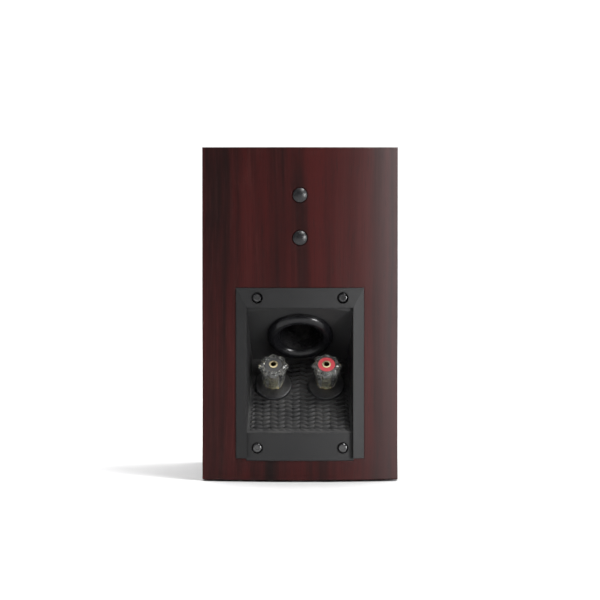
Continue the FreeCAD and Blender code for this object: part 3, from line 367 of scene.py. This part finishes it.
groups = {"dust": dustGroup(), "moulded": mouldedGroup(), "veneer": veneerGroup(), "metal": metalGroup(),
          "weave": weaveGroup()}
print("shader groups built")


materials = {}


def startMaterial(name):
    material = bpy.data.materials.new(name)
    material.use_nodes = True
    tree = material.node_tree
    tree.nodes.clear()
    output = tree.nodes.new("ShaderNodeOutputMaterial")
    shader = tree.nodes.new("ShaderNodeBsdfPrincipled")
    tree.links.new(shader.outputs["BSDF"], output.inputs["Surface"])
    materials[name] = material
    return tree, shader


def useGroup(tree, groupName, values):
    node = tree.nodes.new("ShaderNodeGroup")
    node.node_tree = groups[groupName]
    for label, value in values.items():
        if isinstance(value, bpy.types.NodeSocket):
            tree.links.new(value, node.inputs[label])
        elif isinstance(value, tuple) and node.inputs[label].type == "RGBA":
            node.inputs[label].default_value = value + (1.0,)
        else:
            node.inputs[label].default_value = value
    return node


def finishSurface(tree, shader, source, depth, dust=0.0):
    # colour and roughness go through the dust, and height through a bump whose depth is in metres
    color, rough = source.outputs["Color"], source.outputs["Roughness"]
    if dust:
        cover = useGroup(tree, "dust", {"Color": color, "Roughness": rough, "Amount": dust})
        color, rough = cover.outputs["Color"], cover.outputs["Roughness"]
    tree.links.new(color, shader.inputs["Base Color"])
    tree.links.new(rough, shader.inputs["Roughness"])
    bump = tree.nodes.new("ShaderNodeBump")
    bump.inputs["Strength"].default_value = 1.0
    bump.inputs["Distance"].default_value = depth
    tree.links.new(source.outputs["Height"], bump.inputs["Height"])
    tree.links.new(bump.outputs["Normal"], shader.inputs["Normal"])


# plastics and rubbers: grain is pebbles per metre, and depth is in micrometres
plasticLooks = {
    "panel_plastic": {"color": (0.0185, 0.0185, 0.019), "rough": 0.42,
                      "grain": 2600.0, "depth": 50.0, "dust": 0.1, "specular": 0.24},
    "port_plastic": {"color": (0.005, 0.005, 0.006), "rough": 0.24,
                     "grain": 3200.0, "depth": 20.0, "dust": 0.1, "specular": 0.3},
    "black_plastic": {"color": (0.018, 0.018, 0.019), "rough": 0.45,
                      "grain": 2800.0, "depth": 40.0, "dust": 0.05, "specular": 0.25},
    "post_black": {"color": (0.012, 0.012, 0.013), "rough": 0.3,
                   "grain": 3600.0, "depth": 10.0, "dust": 0.12, "specular": 0.3},
    "ring_red": {"color": (0.34, 0.024, 0.034), "rough": 0.3,
                 "grain": 3000.0, "depth": 10.0, "dust": 0.0, "specular": 0.5},
    "ring_black": {"color": (0.034, 0.034, 0.035), "rough": 0.34,
                   "grain": 3000.0, "depth": 10.0, "dust": 0.0, "specular": 0.4},
    "plug_rubber": {"color": (0.007, 0.007, 0.008), "rough": 0.33,
                    "grain": 1900.0, "depth": 30.0, "dust": 0.12, "specular": 0.4},
    "foot_rubber": {"color": (0.018, 0.018, 0.018), "rough": 0.8,
                    "grain": 1500.0, "depth": 80.0, "dust": 0.0, "specular": 0.25},
    "surround_rubber": {"color": (0.014, 0.014, 0.015), "rough": 0.48,
                        "grain": 2000.0, "depth": 30.0, "dust": 0.12, "specular": 0.25},
    "black_satin": {"color": (0.02, 0.02, 0.021), "rough": 0.33,
                    "grain": 900.0, "depth": 30.0, "dust": 0.0, "specular": 0.25},
    "black_steel": {"color": (0.012, 0.012, 0.013), "rough": 0.17,
                    "grain": 2200.0, "depth": 20.0, "dust": 0.0, "specular": 1.0},
    "cast_frame": {"color": (0.03, 0.03, 0.031), "rough": 0.5,
                   "grain": 1300.0, "depth": 60.0, "dust": 0.05, "specular": 0.25},
    "faceplate_black": {"color": (0.017, 0.017, 0.018), "rough": 0.36,
                        "grain": 2600.0, "depth": 30.0, "dust": 0.06, "specular": 0.25},
    "lead_sleeve": {"color": (0.3, 0.015, 0.015), "rough": 0.35,
                    "grain": 1200.0, "depth": 20.0, "dust": 0.0, "specular": 0.25},
    "capacitor_film": {"color": (0.5, 0.36, 0.03), "rough": 0.3,
                       "grain": 700.0, "depth": 40.0, "dust": 0.0, "specular": 0.25},
    "ceramic_white": {"color": (0.7, 0.68, 0.62), "rough": 0.75,
                      "grain": 1700.0, "depth": 100.0, "dust": 0.0, "specular": 0.25},
    "ferrite": {"color": (0.045, 0.045, 0.05), "rough": 0.65,
                "grain": 1100.0, "depth": 100.0, "dust": 0.0, "specular": 0.25},
    "circuit_board": {"color": (0.012, 0.1, 0.035), "rough": 0.35,
                      "grain": 500.0, "depth": 20.0, "dust": 0.0, "specular": 0.25},
    "black_foam": {"color": (0.035, 0.035, 0.036), "rough": 0.95,
                   "grain": 700.0, "depth": 1000.0, "dust": 0.0, "specular": 0.25},
    "raw_board": {"color": (0.36, 0.24, 0.14), "rough": 0.85,
                  "grain": 1600.0, "depth": 100.0, "dust": 0.0, "specular": 0.25},
}
for slotName, look in plasticLooks.items():
    tree, shader = startMaterial(slotName)
    source = useGroup(tree, "moulded", {"Color": look["color"], "Roughness": look["rough"],
                                        "Grain per metre": look["grain"]})
    finishSurface(tree, shader, source, look["depth"] * micron, look["dust"])
    shader.inputs["Specular IOR Level"].default_value = look["specular"]

# metals: lines are how fast the tool marks change along X, Y and Z, per metre; metalMark is their depth
metalMark = 8 * micron
metalLooks = {
    "gold_plate": {"color": (0.85, 0.72, 0.44), "rough": 0.18, "lines": (300.0, 2400.0, 2400.0),
                   "stain": 0.1},
    "core_metal": {"color": (0.5, 0.47, 0.3), "rough": 0.25, "lines": (300.0, 2400.0, 2400.0), "stain": 0.1},
    "zinc_steel": {"color": (0.6, 0.61, 0.63), "rough": 0.34, "lines": (700.0, 2600.0, 700.0), "stain": 0.15},
    "former_metal": {"color": (0.78, 0.79, 0.8), "rough": 0.3, "lines": (500.0, 3000.0, 500.0),
                     "stain": 0.05},
    "copper": {"color": (0.6, 0.24, 0.09), "rough": 0.28, "lines": (250.0, 5000.0, 5000.0), "stain": 0.12},
}
for slotName, look in metalLooks.items():
    tree, shader = startMaterial(slotName)
    source = useGroup(tree, "metal", {"Color": look["color"], "Roughness": look["rough"],
                                      "Lines": look["lines"], "Stain": look["stain"]})
    finishSurface(tree, shader, source, metalMark)
    shader.inputs["Metallic"].default_value = 1.0

# veneer under a satin lacquer; grain runs up the cabinet, and front to back on the top and bottom panels;
# depth is in micrometres
veneerLook = {
    "dark": (0.0065, 0.0021, 0.0020), "red": (0.034, 0.0044, 0.0042), "pale": (0.060, 0.018, 0.016),
    "bands": 62.0, "rough": 0.35, "coat": 0.06, "coatRough": 0.34, "specular": 0.13,
    "depth": 30.0, "dust": 0.02,
}


def veneerMaterial(name, turn):
    tree, shader = startMaterial(name)
    grain = stretched(tree, place(tree), (1.0, 1.0, 1.0), turn)
    source = useGroup(tree, "veneer", {"Vector": grain, "Dark": veneerLook["dark"], "Red": veneerLook["red"],
                                       "Pale": veneerLook["pale"], "Band width": veneerLook["bands"],
                                       "Roughness": veneerLook["rough"]})
    finishSurface(tree, shader, source, veneerLook["depth"] * micron, veneerLook["dust"])
    shader.inputs["Coat Weight"].default_value = veneerLook["coat"]
    shader.inputs["Coat Roughness"].default_value = veneerLook["coatRough"]
    shader.inputs["Specular IOR Level"].default_value = veneerLook["specular"]


veneerMaterial("rosewood_veneer", (0.0, 0.0, 0.0))
veneerMaterial("rosewood_top", (math.pi / 2, 0.0, 0.0))

# woven and pressed soft parts; threads are per metre, depth is in micrometres, and gap is the painted shade colour
# at thread edges and between threads
weaveDust = 0.06
weaveLooks = {
    "dome_silk": {"color": (0.03, 0.03, 0.032), "gap": (0.012, 0.012, 0.012), "threads": 2600.0,
                  "rough": 0.55, "depth": 50.0, "sheen": 0.25},
    "spider_cloth": {"color": (0.4, 0.22, 0.05), "gap": (0.16, 0.08, 0.02), "threads": 1300.0,
                     "rough": 0.65, "depth": 120.0, "sheen": 0.1},
    "cone_paper": {"color": (0.05, 0.05, 0.053), "gap": (0.018, 0.018, 0.019), "threads": 560.0,
                   "rough": 0.42, "depth": 120.0, "sheen": 0.1},
}
for slotName, look in weaveLooks.items():
    tree, shader = startMaterial(slotName)
    source = useGroup(tree, "weave", {"Vector": place(tree), "Color": look["color"], "Painted thread shade": look["gap"],
                                      "Threads per metre": look["threads"], "Roughness": look["rough"]})
    finishSurface(tree, shader, source, look["depth"] * micron, weaveDust)
    shader.inputs["Sheen Weight"].default_value = look["sheen"]

# clear cap, a little smoky and scuffed
capLook = {"color": (0.93, 0.94, 0.92), "shade": (0.88, 0.89, 0.87), "rough": 0.04, "scuff": 0.08,
           "ior": 1.49, "clear": 0.97}
tree, shader = startMaterial("clear_cap")
scratches = noise(tree, place(tree), 900.0, 4.0, 0.6)
scuff = remap(tree, scratches, 0.35, 0.8, capLook["rough"], capLook["rough"] + capLook["scuff"])
clouds = remap(tree, noise(tree, place(tree), 180.0, 2.0, 0.5), 0.3, 0.7)
tint = mixColor(tree, clouds, capLook["color"], capLook["shade"])
tree.links.new(tint, shader.inputs["Base Color"])
tree.links.new(scuff, shader.inputs["Roughness"])
shader.inputs["Transmission Weight"].default_value = capLook["clear"]
shader.inputs["IOR"].default_value = capLook["ior"]

for entry in frame["record"]["subparts"]:
    node = nodes[entry["node"]]
    node.data.materials.clear()
    node.data.materials.append(materials[entry["material_slot"]])
for name in ("top_panel", "bottom_panel"):
    nodes[name].data.materials[0] = materials["rosewood_top"]
print("materials on every node")


waveLook = {"pitch": 3.8 * mm, "height": 0.55 * mm, "swing": 0.75 * mm, "swingLength": 11.3 * mm,
            "halfWidth": 1.55 * mm, "endWidth": 0.16, "blunt": 0.7, "endHeight": 0.35, "margin": 1.6 * mm,
            "fade": 1.5 * mm, "step": 0.37 * mm, "sink": 0.15 * mm, "thickness": 0.6 * mm}
onPlane = 0.02 * mm
edgeBand = 2 * mm


def slopeFrame():
    # the slope's plane: a point on it, its outward normal, and the unit step down it, from a post's joint
    joint = joints["red_knob_turn"]
    axis = np.array(joint["axis"], float)
    axis /= np.linalg.norm(axis)
    height, radius = alongAxis("red_post_base", np.array(joint["pos_m"]), axis)
    nearRim = 0.98
    flat = height[radius > radius.max() * nearRim].min()
    foot = np.array(joint["pos_m"]) + axis * flat
    down = np.cross(np.array([1.0, 0.0, 0.0]), axis)
    down *= -1.0 if down[2] > 0 else 1.0
    return foot, axis, down


foot, postAxis, downSlope = slopeFrame()


def waveField():
    # ridges across the slope whose lines zigzag; each straight run is a lens, widest midway and narrow at the
    # turns. height = 1 less the square of the distance from the ridge line over the lens's half width there,
    # faded at the edges of the sheet
    look = waveLook
    panel = pointsOf("terminal_panel")
    step = panel - foot
    onSlope = np.abs(step @ postAxis) < onPlane
    along = (step @ downSlope)[onSlope]
    across = panel[onSlope, 0]
    low, high = along.min() + look["margin"], along.max() - look["margin"]
    lengthways = np.linspace(low, high, int((high - low) / look["step"]))
    # the side walls lean, so the sheet's half width grows from the fold to the front
    top = np.abs(across[along < along.min() + edgeBand]).max()
    bottom = np.abs(across[along > along.max() - edgeBand]).max()
    share = (lengthways - along.min()) / (along.max() - along.min())
    half = top + (bottom - top) * share - look["margin"]
    side = np.linspace(-1.0, 1.0, int(2 * bottom / look["step"]))
    x = half[:, None] * side[None, :]
    s = np.broadcast_to(lengthways[:, None], x.shape)
    turn = 2 * math.pi * x / look["swingLength"]
    phase = s + look["swing"] * (2 / math.pi) * np.arcsin(np.cos(turn))
    fromLine = np.abs((phase / look["pitch"] + 0.5) % 1.0 - 0.5) * look["pitch"]
    lens = look["endWidth"] + (1 - look["endWidth"]) * np.abs(np.sin(turn)) ** look["blunt"]
    ridge = np.clip(1 - (fromLine / (look["halfWidth"] * lens)) ** 2, 0, 1)
    ridge *= look["endHeight"] + (1 - look["endHeight"]) * lens
    edgeS = np.minimum(s - low, high - s) / look["fade"]
    edgeX = (half[:, None] - np.abs(x)) / look["fade"]
    fade = np.clip(np.minimum(edgeS, edgeX), 0, 1)
    lift = look["height"] * ridge * fade - look["sink"] * (1 - fade)
    origin = np.array([0.0, foot[1], foot[2]])
    flat = origin + x[..., None] * np.array([1.0, 0, 0]) + s[..., None] * downSlope
    return flat + lift[..., None] * postAxis


waves = addSurface("slope_waves", waveField(), "cabinet", "panel_plastic")
thicken = waves.modifiers.new("thickness", "SOLIDIFY")
thicken.thickness = waveLook["thickness"]
thicken.offset = -1.0
print("slope waves made")


capShape = {"lobes": 8, "lobeDepth": 1.45 * mm, "footLobe": 0.25 * mm, "gap": 0.06 * mm, "steps": 240,
            "topRound": 1.7 * mm, "crown": 0.66, "shoulder": 2.6 * mm, "inset": 1.6 * mm,
            "lobeGrowth": 1.6, "valleyWidth": 1.3, "lobeFade": 2.0 * mm, "cornerSteps": 12,
            "softness": (0.05, 1.6, 3.0, 1.6, 1.5, 1.0, 0.25, 0.05, 0.05)}
coreShape = {"flutes": 28, "fluteDepth": 0.35 * mm, "runOut": 1.6 * mm, "plain": 0.6 * mm, "rings": 14,
             "steps": 280, "cornerSteps": 6, "softness": (0.1, 0.4, 0.4, 0.1)}
# section is distance out from the stem and height, in millimetres; taper is the angle over which it fades out
threadShape = {"pitch": 1.25 * mm, "start": 3.6 * mm, "end": 0.6 * mm, "stepsPerTurn": 40, "taper": 2.0,
               "section": ((-0.06, -0.35), (0.07, 0.0), (-0.06, 0.35))}
endBand = 0.3 * mm
wallBand = 0.2 * mm


def clearCap(color, body):
    # outer radius = a tapering wall, less valleys between the lobes that deepen towards the crown; the inside
    # follows the core and the ring
    joint = joints[color + "_knob_turn"]
    origin = np.array(joint["pos_m"])
    height, radius = alongAxis(color + "_knob_shell", origin, postAxis)
    low, high, wide = height.min(), height.max(), radius.max()
    footRadius = radius[height < low + endBand].max()
    ringHeight, ringRadius = alongAxis(color + "_knob_ring", origin, postAxis)
    core = alongAxis(color + "_knob_core", origin, postAxis)[1].max()
    ledge = ringHeight.min() - capShape["gap"]
    inner = core + capShape["gap"]
    seat = ringRadius.max() + capShape["gap"]
    crown = low + capShape["crown"] * (high - low)
    shoulder = crown + capShape["shoulder"]
    narrow = wide - capShape["inset"]
    corners = [(inner, low), (footRadius, low), (narrow, crown), (wide, shoulder),
               (wide, high - capShape["topRound"]), (narrow, high), (seat, high),
               (seat, ledge), (inner, ledge)]
    path = roundedPath(corners, np.array(capShape["softness"]) * mm, capShape["cornerSteps"])
    outer = path[:, 0] > seat + wallBand
    rise = np.clip((path[:, 1] - low) / (shoulder - low), 0, 1)
    growth = rise ** capShape["lobeGrowth"]
    depth = capShape["footLobe"] + (capShape["lobeDepth"] - capShape["footLobe"]) * growth
    depth = np.where(outer, depth, 0.0) * np.clip((path[:, 0] - seat) / capShape["lobeFade"], 0, 1)
    angle = np.linspace(0, 2 * math.pi, capShape["steps"], endpoint=False)
    valley = (0.5 - 0.5 * np.cos(capShape["lobes"] * angle)) ** capShape["valleyWidth"]
    radii = path[:, 0][:, None] - depth[:, None] * valley[None, :]
    piece = turnedSurface(color + "_clear_cap", radii, path[:, 1], origin, postAxis, body, "clear_cap",
                          capShape["steps"])
    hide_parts(color + "_knob_shell")


def flutedCore(color, body):
    # radius = the core's, less shallow flutes that stop before each end
    joint = joints[color + "_knob_turn"]
    origin = np.array(joint["pos_m"])
    height, radius = alongAxis(color + "_knob_core", origin, postAxis)
    low, high, outer, inner = height.min(), height.max(), radius.max(), radius.min()
    corners = [(inner, low), (outer, low), (outer, high), (inner, high)]
    edge = roundedPath(corners, np.array(coreShape["softness"]) * mm, coreShape["cornerSteps"])
    wallHeights = np.linspace(low + coreShape["plain"], high - coreShape["plain"], coreShape["rings"])
    wall = np.stack([np.full(coreShape["rings"], outer), wallHeights], axis=1)
    bottom = 2 * coreShape["cornerSteps"]
    path = np.concatenate([edge[:bottom], wall, edge[bottom:]])
    angle = np.linspace(0, 2 * math.pi, coreShape["steps"], endpoint=False)
    along = np.clip(np.minimum(path[:, 1] - low, high - path[:, 1]) / coreShape["runOut"], 0, 1)
    deep = np.where(path[:, 0] > outer - endBand, along, 0.0)[:, None] * coreShape["fluteDepth"]
    radii = path[:, 0][:, None] - deep * (0.5 - 0.5 * np.cos(coreShape["flutes"] * angle))[None, :]
    piece = turnedSurface(color + "_fluted_core", radii, path[:, 1], origin, postAxis, body, "gold_plate",
                          coreShape["steps"])
    piece.data.materials[0] = materials["core_metal"]
    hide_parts(color + "_knob_core")


def stemThread(color):
    # a ridge wound round the stem: its height rises evenly with the angle, and it is a triangle in section
    joint = joints[color + "_knob_turn"]
    origin = np.array(joint["pos_m"])
    height, radius = alongAxis(color + "_post_stem", origin, postAxis)
    top = height.max() - threadShape["end"]
    core = radius[height > top].max()
    turns = (top - threadShape["start"]) / threadShape["pitch"]
    angle = np.linspace(0, 2 * math.pi * turns, int(turns * threadShape["stepsPerTurn"]))
    level, across = sideways(postAxis)
    ray = np.cos(angle)[:, None] * level + np.sin(angle)[:, None] * across
    climb = threadShape["start"] + threadShape["pitch"] * angle / (2 * math.pi)
    taper = np.clip(np.minimum(angle, angle[-1] - angle) / threadShape["taper"], 0, 1)
    rings = [origin + (core + r * mm * taper)[:, None] * ray + (climb + h * mm)[:, None] * postAxis
             for r, h in threadShape["section"]]
    addSurface(color + "_stem_thread", np.stack(rings, axis=1), "cabinet", "gold_plate",
               closeColumns=True, flip=True)


for color in ("red", "black"):
    clearCap(color, color + "_knob")
    flutedCore(color, color + "_knob")
    stemThread(color)
print("binding posts made")


# the rolls that bend between a driver's frame and what it drives; lip is the flat run beside the arch
rollLooks = {
    "woofer_roll": {"node": "woofer_surround", "body": "woofer_cone", "slot": "surround_rubber",
                    "lip": 2.6 * mm, "rise": 0.9, "steps": 256},
    "dome_roll": {"node": "tweeter_surround", "body": "tweeter_dome", "slot": "dome_silk",
                  "lip": 0.15 * mm, "rise": 1.0, "steps": 160},
}
archSteps = 40
rimBand = 0.05 * mm


def softRoll(name, look):
    # profile: flat lip on the moving part, arch, flat lip on the frame; the back face is one skin deeper
    low, high = cornersOf(look["node"])
    centre = np.array([(low[0] + high[0]) / 2, 0.0, (low[2] + high[2]) / 2])
    axis = np.array([0.0, -1.0, 0.0])
    height, radius = alongAxis(look["node"], centre, axis)
    inner, outer = radius.min(), radius.max()
    rim = height[radius < inner + rimBand]
    back, skin = rim.min(), rim.max() - rim.min()
    start, end = inner + look["lip"], outer - look["lip"]
    bulge = height.max() - back - skin
    turn = np.linspace(math.pi, 0, archSteps)
    arcR = (start + end) / 2 + (end - start) / 2 * np.cos(turn)
    arcH = bulge * np.clip(np.sin(turn), 0, 1) ** look["rise"]
    faceR = np.concatenate([[inner], arcR, [outer]])
    faceH = np.concatenate([[0.0], arcH, [0.0]])
    radii = np.concatenate([faceR, faceR[::-1]])
    heights = back + np.concatenate([faceH + skin, faceH[::-1]])
    piece = turnedSurface(name, radii, heights, centre, axis, None, look["slot"], look["steps"], flip=True)
    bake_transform(piece)
    # the baked surface's points are read into an array, which is not used further
    points = np.empty(len(piece.data.vertices) * 3)
    piece.data.vertices.foreach_get("co", points)
    points = points.reshape(-1, 3)
    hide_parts(look["node"])


for name, look in rollLooks.items():
    softRoll(name, look)
print("rolls made")


# as the rear camera sees it: a key light from the upper right, a low one from the right for the veneer's
# sheen, weaker ones from the left, from above and on the front, and a strong one for the backdrop
stageLook = {
    "reach": 6.0, "level": 3.7, "curve": 0.45, "lines": 97, "floor": (0.80, 0.80, 0.80),
    "floorShade": (0.785, 0.785, 0.79), "floorRough": 0.7, "sky": 0.06,
}
middle = (0.0, 0.05, 0.12)
lightLooks = {
    "key_light": {"spot": (-1.0, 1.2, 2.2), "target": middle, "size": (0.9, 0.9), "power": 55.0},
    "sheen_light": {"spot": (-1.95, 2.0, 0.40), "target": middle, "size": (0.6, 0.9), "power": 64.0},
    "fill_light": {"spot": (1.9, 1.9, 1.4), "target": middle, "size": (1.2, 1.2), "power": 2.0},
    "top_light": {"spot": (0.0, 0.0, 2.4), "target": middle, "size": (2.6, 2.6), "power": 26.0},
    "backdrop_light": {"spot": (0.0, -1.2, 3.2), "target": (0.0, -3.4, 0.6), "size": (4.0, 1.5),
                       "power": 230.0},
    "front_light": {"spot": (0.8, -1.9, 1.5), "target": middle, "size": (1.2, 1.2), "power": 8.0},
}


def addFloor():
    # a sheet that is level near the object and curves up all round it: its height grows with the square of
    # the distance past the level part
    line = np.linspace(-stageLook["reach"], stageLook["reach"], stageLook["lines"])
    x, y = np.meshgrid(line, line)
    rise = stageLook["curve"] * np.clip(np.hypot(x, y) - stageLook["level"], 0, None) ** 2
    points = np.stack([x, y, rise], axis=-1)
    mesh = bpy.data.meshes.new("floor")
    faces = gridFaces(len(line), len(line), False, False)
    mesh.from_pydata(points.reshape(-1, 3).tolist(), [], faces.tolist())
    mesh.polygons.foreach_set("use_smooth", np.ones(len(mesh.polygons), bool))
    mesh.update()
    floor = bpy.data.objects.new("floor", mesh)
    bpy.context.scene.collection.objects.link(floor)
    tree, shader = startMaterial("floor_paper")
    speck = remap(tree, noise(tree, place(tree), 40.0, 3.0, 0.5), 0.3, 0.7)
    color = mixColor(tree, speck, stageLook["floor"], stageLook["floorShade"])
    tree.links.new(color, shader.inputs["Base Color"])
    shader.inputs["Roughness"].default_value = stageLook["floorRough"]
    floor.data.materials.append(materials["floor_paper"])


def addLight(name, spot, target, size, power):
    light = bpy.data.lights.new(name, "AREA")
    light.shape = "RECTANGLE"
    light.size, light.size_y = size
    light.energy = power
    lamp = bpy.data.objects.new(name, light)
    bpy.context.scene.collection.objects.link(lamp)
    lamp.location = spot
    lamp.rotation_euler = (Vector(target) - Vector(spot)).to_track_quat("-Z", "Y").to_euler()


addFloor()
for name, look in lightLooks.items():
    addLight(name, look["spot"], look["target"], look["size"], look["power"])

world = bpy.data.worlds.new("studio")
bpy.context.scene.world = world
bpy.context.scene.view_settings.view_transform = "Standard"
world.use_nodes = True
sky = world.node_tree.nodes["Background"]
sky.inputs["Color"].default_value = (1.0, 1.0, 1.0, 1.0)
sky.inputs["Strength"].default_value = stageLook["sky"]

# distance is measured from a plane offset behind the side panels' rear ends; aim is a height on that plane
cameraLook = {"distance": 2.857, "offset": 0.012, "height": 0.2233, "aim": 0.1364, "lens": 228.0,
              "sensor": 36.0, "farthest": 50.0}
rearPlane = cornersOf("side_panel_left")[1][1] + cameraLook["offset"]
cameraData = bpy.data.cameras.new("camera")
cameraData.lens = cameraLook["lens"]
cameraData.sensor_width = cameraLook["sensor"]
cameraData.clip_end = cameraLook["farthest"]
camera = bpy.data.objects.new("camera", cameraData)
bpy.context.scene.collection.objects.link(camera)
camera.location = (0.0, rearPlane + cameraLook["distance"], cameraLook["height"])
aim = Vector((0.0, rearPlane, cameraLook["aim"]))
camera.rotation_euler = (aim - camera.location).to_track_quat("-Z", "Y").to_euler()
bpy.context.scene.camera = camera
print("stage set")
